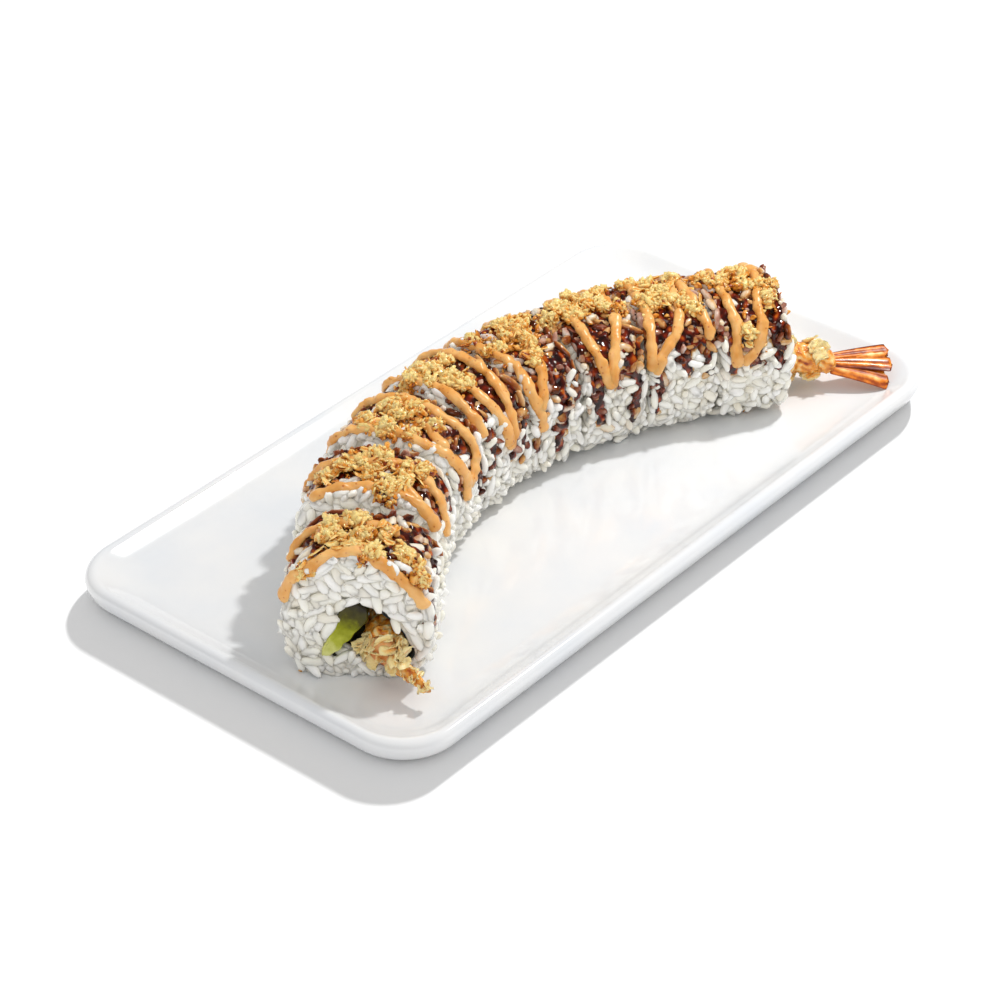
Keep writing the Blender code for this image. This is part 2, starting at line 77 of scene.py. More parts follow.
# ---- sauces ----
# Where the squeezed line runs over each slice: millimetres along and down.
STRIPES = (
    (1, ((-13.4, -34), (-13.8, -22), (-14, -16), (-12.6, -10), (-11, -4), (-11.6, 3), (-13.4, 9),
         (-15.4, 15), (-16, 21), (-15.2, 26), (-14, 33))),
    (1, ((-1, -28), (3, -23), (4, -15), (5, -6), (4, 4), (2, 12))),
    (2, ((-12, -20), (-12, -13), (-10.6, -6), (-9.4, 2), (-11, 11), (-12, 20), (-12.2, 29))),
    (2, ((-4.6, 7), (-8, 13), (-11.4, 18))),
    (2, ((3, -31), (6, -26), (5.4, -16), (4.8, -4), (5.4, 8), (2.4, 17), (-1, 26), (-4, 37))),
    (3, ((-9, -32), (-12, -22), (-11.6, -10), (-10.2, 0), (-11.4, 11), (-8.6, 23), (-5, 33),
         (-7, 40))),
    (3, ((0.6, 3), (-4, 11), (-8.8, 19))),
    (3, ((6, -26), (9, -16), (9, -2), (6.6, 8), (5.4, 15), (5.6, 23), (4.6, 29), (0, 34),
         (-4, 36))),
    (4, ((-9, -28), (-11, -18), (-10.6, -4), (-11, 6), (-12, 15), (-12.2, 27))),
    (4, ((-2, -10), (-2.2, 5), (-3.8, 14), (-2.6, 23), (-0.4, 36))),
    (4, ((6, -28), (10, -18), (10, -2), (7.2, 9), (4.8, 17), (3.2, 23), (2.6, 30), (-0.2, 38))),
    (5, ((-10, -30), (-12, -20), (-11.8, -4), (-9.8, 8), (-10.2, 18), (-10.6, 23), (-9, 30),
         (-7.6, 39))),
    (5, ((8, -26), (6, -12), (2, 4), (-1.2, 15), (-5.2, 23), (-8.8, 31))),
    (6, ((-1, -27), (-4, -14), (-5.4, 3), (-6.6, 12), (-6, 20), (-4.6, 26), (-2.8, 33))),
    (6, ((8, -28), (11.4, -14), (10.8, 0), (8.2, 8), (2.4, 18), (-1.4, 26), (-2.8, 33))),
    (7, ((-4, -26), (-7, -10), (-8.4, 6), (-11, 17), (-12, 23), (-12.2, 31))),
    (7, ((5, -27), (8, -14), (6, -4), (2.6, 11), (-1.8, 19), (-8.2, 25), (-11.8, 32))),
    (7, ((10.4, -16), (10, 2), (10.4, 12), (10.8, 24))),
    (8, ((-3, -25), (-6, -10), (-6.4, 0), (-7, 11), (-6.8, 20), (-8.2, 29), (-7, 35))),
    (8, ((8, -27), (9.4, -10), (7, 3), (3.4, 13), (2.8, 21), (0, 28), (-6, 34))),
)
# Where the dark sauce runs down the near side: millimetres along, down to, and half width.
DRIPS = (
    ((-9, 46, 3.0), (4, 36, 2.6)),
    ((9, 44, 2.6), (-4, 34, 2.2)),
    ((-8, 44, 2.2), (7, 50, 2.8)),
    ((-10, 52, 2.6), (3, 46, 2.8), (11, 50, 2.4)),
    ((-9, 50, 2.8), (2, 54, 4.0), (11, 36, 2.6)),
    ((-7, 50, 3.6), (8, 54, 3.2), (0, 36, 2.6)),
    ((-11, 52, 3.0), (1, 38, 3.4), (9, 40, 3.0)),
    ((-9, 40, 4.0), (0, 38, 5.0), (9, 42, 4.2)),
)
# How deep into each slice, from its front, the rice is left clean of sauce on top, in mm.
CLEAN_FRONT = (5.0, 6.0, 6.0, 3.0, 0.5, -1.0, -1.0, -1.0)
# How far down the near and the far side the sauce covers the top, and how its edge wavers.
SAUCE_NEAR = 27.0 * MM
SAUCE_FAR = 30.0 * MM
SAUCE_WAVER = 5.0 * MM
WAVER_LENGTH = 13.0 * MM
PATCH_LENGTH = 9.0 * MM
SAUCE_THINNEST = 0.35
# The slice that one grain fell from, and where it lies on the plate, in millimetres.
FALLEN = (6, (41.5, -12.5, 5.3))
# Crumbs that fell on the plate: each one's slice and where it lies, in millimetres.
FALLEN_CRUMBS = ((1, -133.0, -16.3, 5.0), (1, -131.6, -15.6, 5.2), (8, 85.1, -35.6, 5.0),
                 (8, 87.4, -35.4, 5.4), (8, 86.2, -34.8, 4.9))
# Where each slice's crumbs clump together: millimetres along and down.
CLUMPS = (
    ((5, -2), (3, -10), (-3, -8), (-8, -3), (-9, 5), (1, 7), (-8, 14), (-2, 1), (-12, 21),
     (-13, -16)),
    ((6, -5), (0, -9), (-2, 0), (1, 9), (-6, 8), (-4, -15), (7, 1), (-11, 8), (2, 14)),
    ((6, -7), (3, 2), (-7, -11), (-9, -3), (-10, 7), (-2, 12), (-1, -4)),
    ((-3, 1), (-5, -6), (-4, -12), (-3, 7), (-13, -11), (3, -7), (-9, -3)),
    ((3, -10), (7, -2), (-8, 2), (-2, 11), (-9, -9), (0, -3), (3, 5), (10, -8)),
    ((-7, -8), (-2, 0), (9, -7), (-12, -4), (3, -5), (1, -11), (10, 2)),
    ((-7, -13), (0, -3), (-5, 2), (7, 9), (7, -8), (-1, -9), (2, 3)),
    ((-6, -3), (1, 1), (8, 3), (-3, 23), (9, 9), (2, -6), (-10, -7)),
)


# ---- small tools ----

def linear(code):
    """A linear RGBA colour from an sRGB hex code, by the sRGB curve's two parts."""
    share = np.array([int(code[k:k + 2], 16) for k in (0, 2, 4)]) / 255.0
    curve = np.where(share <= 0.04045, share / 12.92, ((share + 0.055) / 1.055) ** 2.4)
    return (*curve.tolist(), 1.0)


def smooth_step(value, low, high):
    """0 below low and 1 above high, and between them 3 t squared less 2 t cubed."""
    t = np.clip((value - low) / (high - low), 0.0, 1.0)
    return t * t * (3.0 - 2.0 * t)


WAVES = 16


def waves(points, size, seed):
    """Smooth noise, mostly within -1 to 1: sines in random directions, added.

    Each sine's wavelength is near size, from 0.7 to 1.6 of it, and its phase is random.
    """
    rng = np.random.default_rng(seed)
    heading = rng.normal(size=(WAVES, points.shape[-1]))
    heading /= np.linalg.norm(heading, axis=1)[:, None]
    heading /= (size * rng.uniform(0.7, 1.6, WAVES))[:, None]
    phase = rng.uniform(0.0, 2.0 * math.pi, WAVES)
    return np.sin(2.0 * math.pi * points @ heading.T + phase).sum(-1) / math.sqrt(WAVES)


def spline(points, count, closed=False):
    """Points at even steps along a Catmull-Rom curve through the given ones.

    Between two points the curve is a cubic whose slope at each is half the step from the
    point before it to the point after it.
    """
    points = np.asarray(points, float)
    ends = (points[-1:], points[:2]) if closed else (
        2.0 * points[:1] - points[1:2], 2.0 * points[-1:] - points[-2:-1])
    p = np.concatenate([ends[0], points, ends[1]])
    t = np.linspace(0.0, 1.0, 24, endpoint=False)[None, :, None]
    a, b, c, d = (p[k:len(p) - 3 + k][:, None] for k in range(4))
    curve = 0.5 * (2.0 * b + (c - a) * t + (2.0 * a - 5.0 * b + 4.0 * c - d) * t ** 2
                   + (3.0 * b - a - 3.0 * c + d) * t ** 3)
    curve = np.concatenate([curve.reshape(-1, points.shape[1]), p[-2:-1]])
    walked = np.concatenate([[0.0], np.cumsum(np.linalg.norm(np.diff(curve, axis=0), axis=1))])
    steps = np.linspace(0.0, walked[-1], count, endpoint=not closed)
    return np.stack([np.interp(steps, walked, axis) for axis in curve.T], axis=1)


def lattice(rows, columns, wrap=True, close=False):
    """The quads of a grid of points kept row by row; wrap joins its columns into rings."""
    row = np.arange(rows if close else rows - 1)
    column = np.arange(columns if wrap else columns - 1)
    row, column = np.meshgrid(row, column, indexing="ij")
    over, up = (column + 1) % columns, (row + 1) % rows
    quads = np.stack([row * columns + column, row * columns + over,
                      up * columns + over, up * columns + column], axis=-1)
    return quads.reshape(-1, 4)


def caps(rows, columns):
    """The triangles that join a tube's end rings to two poles kept after its rings."""
    k = np.arange(columns)
    over = (k + 1) % columns
    last = (rows - 1) * columns
    first = np.stack([over, k, np.full(columns, rows * columns)], axis=1)
    end = np.stack([last + k, last + over, np.full(columns, rows * columns + 1)], axis=1)
    return np.concatenate([first, end])


def sheet_faces(rows, columns):
    """The quads of a closed thin sheet: a top grid, a bottom grid, and the rim between."""
    top = lattice(rows, columns, wrap=False)
    layer = rows * columns
    index = np.arange(layer).reshape(rows, columns)
    rim = np.concatenate([index[0], index[1:, -1], index[-1, -2::-1], index[-2:0:-1, 0]])
    after = np.roll(rim, -1)
    side = np.stack([after, rim, rim + layer, after + layer], axis=1)
    return np.concatenate([top, top[:, ::-1] + layer, side])


def turned_outwards(points, quads, triangles):
    """The faces, turned over if the closed surface's signed volume is negative."""
    faces = [f for f in (quads[:, :3], quads[:, [0, 2, 3]], triangles) if len(f)]
    corner = points[np.concatenate(faces)]
    volume = (corner[:, 0] * np.cross(corner[:, 1], corner[:, 2])).sum()
    return (quads, triangles) if volume > 0.0 else (quads[:, ::-1], triangles[:, ::-1])


NO_TRIANGLES = np.zeros((0, 3), int)


def piece(name, points, quads, triangles, finish, nodes, values=()):
    """Make one mesh object from whole arrays, hang it on the root body and hide the nodes it
    stands for.
    """
    points = np.asarray(points, float).reshape(-1, 3)
    quads, triangles = turned_outwards(points, np.asarray(quads), np.asarray(triangles))
    mesh = bpy.data.meshes.new(name)
    corners = np.concatenate([quads.ravel(), triangles.ravel()]).astype(np.int32)
    totals = np.concatenate([np.full(len(quads), 4), np.full(len(triangles), 3)])
    mesh.vertices.add(len(points))
    mesh.vertices.foreach_set("co", points.astype(np.float32).ravel())
    mesh.loops.add(len(corners))
    mesh.loops.foreach_set("vertex_index", corners)
    mesh.polygons.add(len(totals))
    mesh.polygons.foreach_set("loop_start", (np.cumsum(totals) - totals).astype(np.int32))
    mesh.update(calc_edges=True)
    for label, value in dict(values).items():
        layer = mesh.attributes.new(label, "FLOAT", "POINT")
        layer.data.foreach_set("value", np.asarray(value, np.float32).ravel())
    mesh.shade_smooth()
    mesh.materials.append(finish)
    made = bpy.data.objects.new(name, mesh)
    bpy.context.scene.collection.objects.link(made)
    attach(made, "root")
    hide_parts(*nodes)


def node_points(name):
    """A CAD node's own points, each once, to a hundredth of a millimetre."""
    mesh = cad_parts[name].data
    points = np.empty(len(mesh.vertices) * 3)
    mesh.vertices.foreach_get("co", points)
    return np.unique(points.reshape(-1, 3).round(5), axis=0)


def copies(shape, axes, centres, sizes):
    """Copies of one shape: its x, y, z times each size, along each copy's three axes."""
    return np.einsum("nvk,nkj->nvj", shape * sizes[:, None, :], axes) + centres[:, None, :]


def copied_faces(faces, count, points):
    """The same faces for each of count copies of a shape with so many points."""
    return (faces[None] + points * np.arange(count)[:, None, None]).reshape(-1, faces.shape[1])


def turned_axes(first, normal, tilt, roll):
    """Three axes for each copy: its length, side and thickness.

    The length is the first direction tilted out of the surface towards the normal, and the
    other two are then turned about it.
    """
    side = np.cross(normal, first)
    length = first * np.cos(tilt)[:, None] + normal * np.sin(tilt)[:, None]
    up = np.cross(length, side)
    turned = side * np.cos(roll)[:, None] + up * np.sin(roll)[:, None]
    return np.stack([length, turned, np.cross(length, turned)], axis=1)


# ---- the slices' frames ----

class Slice:
    """One slice of the roll: its place, its size, and its skin as a surface."""

    def __init__(self, number):
        """Read the frame from the bodies: the roll runs the way that the slice is thin."""
        self.number = number
        skin = node_points(f"rice_{number}")
        lining = node_points(f"nori_{number}")
        spread = lining[:, :2] - lining[:, :2].mean(0)
        axes = np.linalg.eigh(spread.T @ spread)[1]
        ahead = axes[:, np.argmin(np.ptp(skin[:, :2] @ axes, axis=0))]
        ahead = ahead * np.sign(ahead[0])
        self.ahead = np.array([*ahead, 0.0])
        self.left = np.array([-ahead[1], ahead[0], 0.0])
        self.up = np.array([0.0, 0.0, 1.0])
        across = skin @ self.left
        self.origin = (self.ahead * (lining @ self.ahead).mean()
                       + self.left * 0.5 * (across.max() + across.min())
                       + self.up * skin[:, 2].min())
        self.half_wide = 0.5 * np.ptp(across)
        self.half_high = 0.5 * np.ptp(skin[:, 2])
        local = self.local(lining)
        fit = np.polyfit(local[:, 1], np.abs(local[:, 0]) / LINING_SHARE, 1)
        self.half_thick, self.wedge = fit[1], fit[0]
        self.hole_middle, self.hole = self.read_hole(local)
        angle = np.linspace(-0.5 * math.pi, 1.5 * math.pi, 1441)
        power = np.where(np.sin(angle) < 0.0, BASE_SQUARENESS, TOP_SQUARENESS)
        cos, sin = np.cos(angle), np.sin(angle)
        self.side = np.sign(cos) * np.abs(cos) ** (2.0 / power) * self.half_wide
        self.rise = (1.0 + np.sign(sin) * np.abs(sin) ** (2.0 / power)) * self.half_high
        step = np.hypot(np.diff(self.side), np.diff(self.rise))
        walked = np.concatenate([[0.0], np.cumsum(step)])
        self.round = walked[-1]
        self.down = walked - np.interp(0.5 * math.pi, angle, walked)
        away = np.stack([self.side, self.rise], axis=1) - self.hole_middle
        bearing = np.arctan2(away[:, 1], away[:, 0])
        order = np.argsort(bearing)
        self.bearing = bearing[order]
        self.outer = np.linalg.norm(away, axis=1)[order]
        self.outer_down = self.down[order]

    def local(self, points):
        """World points in the slice's frame: along, across, up."""
        offset = points - self.origin
        return np.stack([offset @ self.ahead, offset @ self.left, offset @ self.up], axis=-1)

    def world(self, points):
        """Points of the slice's frame in the world, kept above the plate's floor."""
        place = (self.origin + points[..., :1] * self.ahead + points[..., 1:2] * self.left
                 + points[..., 2:] * self.up)
        place[..., 2] = np.maximum(place[..., 2], PLATE_FLOOR + 0.05 * MM)
        return place

    def half_at(self, across):
        """Half the slice's thickness there: it is a wedge, thinner at the arc's inside."""
        return self.half_thick + self.wedge * across

    def read_hole(self, local):
        """The opening's middle and its radius for each bearing, from its lining.

        The lining's outline is drawn as the hull of its points, and the hull's radius is
        smoothed by keeping only its first waves round the opening.
        """
        flat = local[:, 1:]
        middle = 0.5 * (flat.min(0) + flat.max(0))
        bearing = np.linspace(-math.pi, math.pi, 360, endpoint=False)
        normal = np.stack([np.cos(bearing), np.sin(bearing)], axis=1)
        support = ((flat - middle) @ normal.T).max(0)
        facing = np.cos(bearing[:, None] - bearing[None])
        radius = np.where(facing > 0.1, support[None] / np.maximum(facing, 0.1), 1.0).min(1)
        wave = np.fft.rfft(radius)
        wave[HOLE_WAVES + 1:] = 0.0
        return middle, (bearing, np.fft.irfft(wave, len(bearing)))

    def hole_radius(self, bearing):
        """The opening's radius at a bearing about its middle."""
        return np.interp(bearing, *self.hole, period=2.0 * math.pi)

    def outer_radius(self, bearing):
        """The rice's outer radius at a bearing about the opening's middle."""
        return np.interp(bearing, self.bearing, self.outer, period=2.0 * math.pi)

    def down_at(self, bearing):
        """The distance down the skin at a bearing about the opening's middle."""
        return np.interp(bearing, self.bearing, self.outer_down)

    def section(self, down, lift=0.0):
        """Across and up at a distance down from the top, lifted off the skin.

        The skin's outward direction there follows, across and up too.
        """
        down = (np.asarray(down) - self.down[0]) % self.round + self.down[0]
        side = np.interp(down, self.down, self.side)
        rise = np.interp(down, self.down, self.rise)
        step = 0.4 * MM
        slope = np.stack([np.interp(down + step, self.down, track)
                          - np.interp(down - step, self.down, track)
                          for track in (self.side, self.rise)], axis=-1)
        slope /= np.linalg.norm(slope, axis=-1)[..., None]
        return (side + lift * slope[..., 1], rise - lift * slope[..., 0],
                slope[..., 1], -slope[..., 0])

    def rounded(self, along, down):
        """Where a walk along the skin leads, since the slice's cut edges are rounded.

        It runs straight to the edge, round a quarter circle, and then down the cut face.
        The answer is its place along the slice, its drop below the skin, and its lean.
        """
        reach = self.half_at(self.section(down)[0]) - CUT_EDGE
        over = np.maximum(np.abs(along) - reach, 0.0)
        lean = np.minimum(over / CUT_EDGE, 0.5 * math.pi)
        drop = CUT_EDGE * (1.0 - np.cos(lean)) + over - CUT_EDGE * lean
        place = np.minimum(np.abs(along), reach) + CUT_EDGE * np.sin(lean)
        return np.sign(along) * place, drop, np.sign(along) * lean

    def skin(self, along, down, lift=0.0):
        """World points on the skin, along being a walk from the slice's middle."""
        place, drop, lean = self.rounded(along, down)
        side, rise, _, _ = self.section(down, lift * np.cos(lean) - drop)
        place = place + lift * np.sin(lean)
        return self.world(np.stack(np.broadcast_arrays(place, side, rise), axis=-1))

    def skin_normal(self, along, down):
        """The skin's outward direction in the world."""
        lean = self.rounded(along, down)[2][..., None]
        _, _, across, up = self.section(down)
        straight = across[..., None] * self.left + up[..., None] * self.up
        return np.cos(lean) * straight + np.sin(lean) * self.ahead

    def soaked(self, along, down):
        """How much dark sauce lies at a place on the skin, 0 to 1.

        It covers the top between two wavering edges, less where slow noise is low and near
        the clean front, and runs down the near side in drips that thin out towards their
        ends.
        """
        k = self.number - 1
        place = np.stack(np.broadcast_arrays(along, down), axis=-1)
        seed = SEED + 31 * self.number
        wander = SAUCE_WAVER * waves(place, WAVER_LENGTH, seed)
        near = smooth_step(SAUCE_NEAR + wander - down, -1.5 * MM, 3.0 * MM)
        far = smooth_step(down + SAUCE_FAR - wander, -1.5 * MM, 3.0 * MM)
        patchy = smooth_step(waves(place, PATCH_LENGTH, seed + 7), -1.0, -0.1)
        front = CLEAN_FRONT[k] * MM + 0.35 * wander
        behind = smooth_step(along + self.half_thick, front - 2.0 * MM, front + 2.0 * MM)
        amount = near * far * (SAUCE_THINNEST + (1.0 - SAUCE_THINNEST) * patchy) * behind
        for middle, end, half in DRIPS[k]:
            bend = 1.2 * MM * np.sin(down / (6.0 * MM) + middle)
            thin = half * MM * (1.0 - 0.45 * smooth_step(down, 20.0 * MM, end * MM))
            beside = np.abs(along - middle * MM - bend) / thin
            edge = smooth_step(1.25 - beside, 0.0, 0.5)
            start = smooth_step(down, 4.0 * MM, 14.0 * MM)
            stop = smooth_step(end * MM - down, 0.0, 3.0 * MM)
            amount = np.maximum(amount, edge * start * stop)
        return amount


slices = [Slice(number) for number in range(1, SLICES + 1)]


# ---- materials ----

def add_node(tree, kind, settings=(), values=(), links=(), stops=()):
    """Add a shader node with its settings, its sockets' values and their sources.

    A colour ramp also takes its stops, each a position and a colour.
    """
    made = tree.nodes.new("ShaderNode" + kind)
    for name, value in dict(settings).items():
        setattr(made, name, value)
    for name, value in dict(values).items():
        made.inputs[name].default_value = value
    for name, source in dict(links).items():
        tree.links.new(source, made.inputs[name])
    if stops:
        marks = made.color_ramp.elements
        while len(marks) < len(stops):
            marks.new(0.5)
        for mark, (position, colour) in zip(marks, stops):
            mark.position = position
            mark.color = colour
    return made


def new_finish(name, **values):
    """A Principled material, and its tree, shader and Object coordinates."""
    material = bpy.data.materials.new(name)
    material.use_nodes = True
    tree = material.node_tree
    shader = tree.nodes["Principled BSDF"]
    for label, value in values.items():
        shader.inputs[label.replace("_", " ")].default_value = value
    place = add_node(tree, "TexCoord").outputs["Object"]
    return material, tree, shader, place


def varied(tree, value, noise, gain, base):
    """A value that a noise moves up and down: the value, plus gain times noise, plus base."""
    shift = add_node(tree, "Math", {"operation": "MULTIPLY_ADD"}, {1: gain, 2: base},
                     {0: noise}).outputs[0]
    return add_node(tree, "Math", {"operation": "ADD"}, links={0: value, 1: shift}).outputs[0]


def main_colours():
    """The scene's colour settings."""
    return bpy.context.scene.maki_colours


def porcelain_finish():
    """Glazed white porcelain: a smooth glassy coat, and a bare ring under the foot.

    The glaze gives the eye soft bright reflections with a faint ripple 9 mm apart, and its
    white clouds over slowly, 29 mm apart.
    """
    material, tree, shader, place = new_finish(
        "glazed_porcelain", IOR=1.52, Coat_Weight=0.3, Coat_Roughness=0.04)
    height = add_node(tree, "SeparateXYZ", links={"Vector": place}).outputs["Z"]
    glazed = add_node(tree, "MapRange", values={"From Min": 0.0002, "From Max": 0.0006},
                      links={"Value": height}).outputs["Result"]
    tone = add_node(tree, "TexNoise", values={"Scale": 35.0, "Detail": 3.0},
                    links={"Vector": place}).outputs["Fac"]
    white = add_node(tree, "ValToRGB", links={"Fac": tone},
                     stops=((0.3, main_colours().porcelain), (0.7, linear("EEF1F5"))))
    body = add_node(tree, "Mix", {"data_type": "RGBA"}, {6: linear("D9D3C6")},
                    {0: glazed, 7: white.outputs["Color"]})
    tree.links.new(body.outputs[2], shader.inputs["Base Color"])
    rough = add_node(tree, "MapRange", values={"To Min": 0.75, "To Max": 0.13},
                     links={"Value": glazed}).outputs["Result"]
    tree.links.new(rough, shader.inputs["Roughness"])
    ripple = add_node(tree, "TexNoise", values={"Scale": 110.0, "Detail": 1.0},
                      links={"Vector": place}).outputs["Fac"]
    bump = add_node(tree, "Bump", values={"Strength": 0.04, "Distance": 0.0006},
                    links={"Height": ripple})
    tree.links.new(bump.outputs["Normal"], shader.inputs["Normal"])
    return material


def rice_finish():
    """Steamed short-grain rice: moist starch that light goes into.

    It gives the eye soft white grains with a wet shine, each a little different, and stains
    from mauve through amber to brown where sauce has soaked in, mottled 2.4 mm apart.
    """
    material, tree, shader, place = new_finish(
        "steamed_rice", IOR=1.4, Coat_Weight=0.25, Coat_Roughness=0.06, Subsurface_Weight=0.6,
        Subsurface_Radius=(0.0017, 0.0017, 0.0017), Subsurface_Scale=1.0)
    tint = add_node(tree, "Attribute", {"attribute_name": "tint"}).outputs["Fac"]
    soak = add_node(tree, "Attribute", {"attribute_name": "soak"}).outputs["Fac"]
    mottle = add_node(tree, "TexNoise", values={"Scale": 420.0, "Detail": 3.0},
                      links={"Vector": place}).outputs["Fac"]
    white = add_node(tree, "ValToRGB", links={"Fac": tint},
                     stops=((0.0, linear("F1EBDD")), (0.45, main_colours().rice),
                            (1.0, linear("FFFDF6")))).outputs["Color"]
    stained = varied(tree, soak, mottle, 0.5, -0.25)
    cool = add_node(tree, "ValToRGB", links={"Fac": stained},
                    stops=((0.08, linear("E6D9D0")), (0.36, linear("B88C78")),
                           (0.62, linear("742E16")), (1.0, linear("300C05")))).outputs["Color"]
    warm = add_node(tree, "ValToRGB", links={"Fac": stained},
                    stops=((0.08, linear("EAD9BC")), (0.38, linear("CF9C5E")),
                           (0.66, linear("8A4010")), (1.0, linear("3A1203")))).outputs["Color"]
    hue = add_node(tree, "MapRange", values={"From Min": 0.25, "From Max": 0.50},
                   links={"Value": tint}).outputs["Result"]
    stain = add_node(tree, "Mix", {"data_type": "RGBA"}, links={0: hue, 6: cool, 7: warm})
    take = add_node(tree, "MapRange", values={"From Min": 0.02, "From Max": 0.3},
                    links={"Value": soak}).outputs["Result"]
    colour = add_node(tree, "Mix", {"data_type": "RGBA"},
                      links={0: take, 6: white, 7: stain.outputs[2]})
    tree.links.new(colour.outputs[2], shader.inputs["Base Color"])
    rough = add_node(tree, "MapRange", values={"To Min": 0.20, "To Max": 0.08},
                     links={"Value": take}).outputs["Result"]
    tree.links.new(rough, shader.inputs["Roughness"])
    bump = add_node(tree, "Bump", values={"Strength": 0.25, "Distance": 0.0002},
                    links={"Height": mottle})
    tree.links.new(bump.outputs["Normal"], shader.inputs["Normal"])
    return material


def seaweed_finish():
    """Toasted laver sheet, damp: near-black green with fine pressed fibres 0.7 mm apart."""
    material, tree, shader, place = new_finish("toasted_laver", IOR=1.45, Roughness=0.42,
                                               Sheen_Weight=0.1)
    fibre = add_node(tree, "TexNoise", values={"Scale": 1400.0, "Detail": 4.0},
                     links={"Vector": place}).outputs["Fac"]
    colour = add_node(tree, "ValToRGB", links={"Fac": fibre},
                      stops=((0.3, linear("0A0D08")), (0.7, main_colours().seaweed)))
    tree.links.new(colour.outputs["Color"], shader.inputs["Base Color"])
    bump = add_node(tree, "Bump", values={"Strength": 0.6, "Distance": 0.0003},
                    links={"Height": fibre})
    tree.links.new(bump.outputs["Normal"], shader.inputs["Normal"])
    return material


def avocado_finish():
    """Ripe avocado flesh: oily and smooth, cut by a knife.

    It gives the eye yellow-green that turns dark olive towards the skin, clouded 3 mm apart.
    """
    material, tree, shader, place = new_finish(
        "ripe_avocado", IOR=1.40, Roughness=0.24, Subsurface_Weight=0.2,
        Subsurface_Radius=(0.0016, 0.0016, 0.0006), Subsurface_Scale=1.0)
    ripe = add_node(tree, "Attribute", {"attribute_name": "ripe"}).outputs["Fac"]
    cloud = add_node(tree, "TexNoise", values={"Scale": 320.0, "Detail": 4.0},
                     links={"Vector": place}).outputs["Fac"]
    colour = add_node(tree, "ValToRGB",
                      links={"Fac": varied(tree, ripe, cloud, 0.5, -0.25)},
                      stops=((0.04, linear("221A00")), (0.30, linear("484300")),
                             (0.50, linear("8A8E08")), (0.74, main_colours().avocado),
                             (0.95, linear("DCDC8A"))))
    tree.links.new(colour.outputs["Color"], shader.inputs["Base Color"])
    bump = add_node(tree, "Bump", values={"Strength": 0.35, "Distance": 0.0003},
                    links={"Height": cloud})
    tree.links.new(bump.outputs["Normal"], shader.inputs["Normal"])
    return material


def shrimp_finish():
    """Cooked shrimp meat: white flesh under a pink-orange skin in bands, moist.

    It gives the eye a soft warm sheen, veined 2 mm apart.
    """
    material, tree, shader, place = new_finish(
        "cooked_shrimp", IOR=1.4, Roughness=0.28, Subsurface_Weight=0.3,
        Subsurface_Radius=(0.0022, 0.0010, 0.0006), Subsurface_Scale=1.0)
    tone = add_node(tree, "Attribute", {"attribute_name": "blush"}).outputs["Fac"]
    vein = add_node(tree, "TexNoise", values={"Scale": 500.0, "Detail": 4.0},
                    links={"Vector": place}).outputs["Fac"]
    colour = add_node(tree, "ValToRGB",
                      links={"Fac": varied(tree, tone, vein, 0.6, -0.3)},
                      stops=((0.1, linear("F3D2A2")), (0.42, linear("E6A76A")),
                             (0.7, main_colours().shrimp), (1.0, linear("96400F"))))
    tree.links.new(colour.outputs["Color"], shader.inputs["Base Color"])
    bump = add_node(tree, "Bump", values={"Strength": 0.4, "Distance": 0.0003},
                    links={"Height": vein})
    tree.links.new(bump.outputs["Normal"], shader.inputs["Normal"])
    return material


def fried_finish(name, pale, gold, brown):
    """Fried tempura batter: crisp, porous and oily.

    It gives the eye pale thin edges, golden faces and brown hollows in blotches 3 mm apart,
    with pits 0.7 mm apart and grit of 0.5 mm that catch small highlights. The brown of the
    hollows is partly painted shade, carried with the fried colour in one attribute.
    """
    material, tree, shader, place = new_finish(
        name, IOR=1.46, Roughness=0.20, Coat_Weight=0.35, Coat_Roughness=0.08,
        Subsurface_Weight=0.25, Subsurface_Radius=(0.0014, 0.0010, 0.0006),
        Subsurface_Scale=1.0)
    # This attribute mixes the fried colour with painted shade in the crumbs' pits, low in their
    # heaps and on the flakes' ribs.
    brown_and_shade = add_node(tree, "Attribute", {"attribute_name": "brown_and_shade"}).outputs["Fac"]
    blotch = add_node(tree, "TexNoise", values={"Scale": 330.0, "Detail": 3.0},
                      links={"Vector": place}).outputs["Fac"]
    pits = add_node(tree, "TexVoronoi", values={"Scale": 1400.0},
                    links={"Vector": place}).outputs["Distance"]
    colour = add_node(tree, "ValToRGB",
                      links={"Fac": varied(tree, brown_and_shade, blotch, 0.7, -0.35)},
                      stops=((0.08, pale), (0.42, gold), (0.74, brown),
                             (1.0, linear("481402"))))
    tree.links.new(colour.outputs["Color"], shader.inputs["Base Color"])
    rough = add_node(tree, "TexNoise", values={"Scale": 2200.0, "Detail": 3.0},
                     links={"Vector": place}).outputs["Fac"]
    grit = add_node(tree, "Math", {"operation": "ADD"}, links={0: pits, 1: rough})
    bump = add_node(tree, "Bump", values={"Strength": 0.5, "Distance": 0.0004},
                    links={"Height": grit.outputs[0]})
    tree.links.new(bump.outputs["Normal"], shader.inputs["Normal"])
    return material


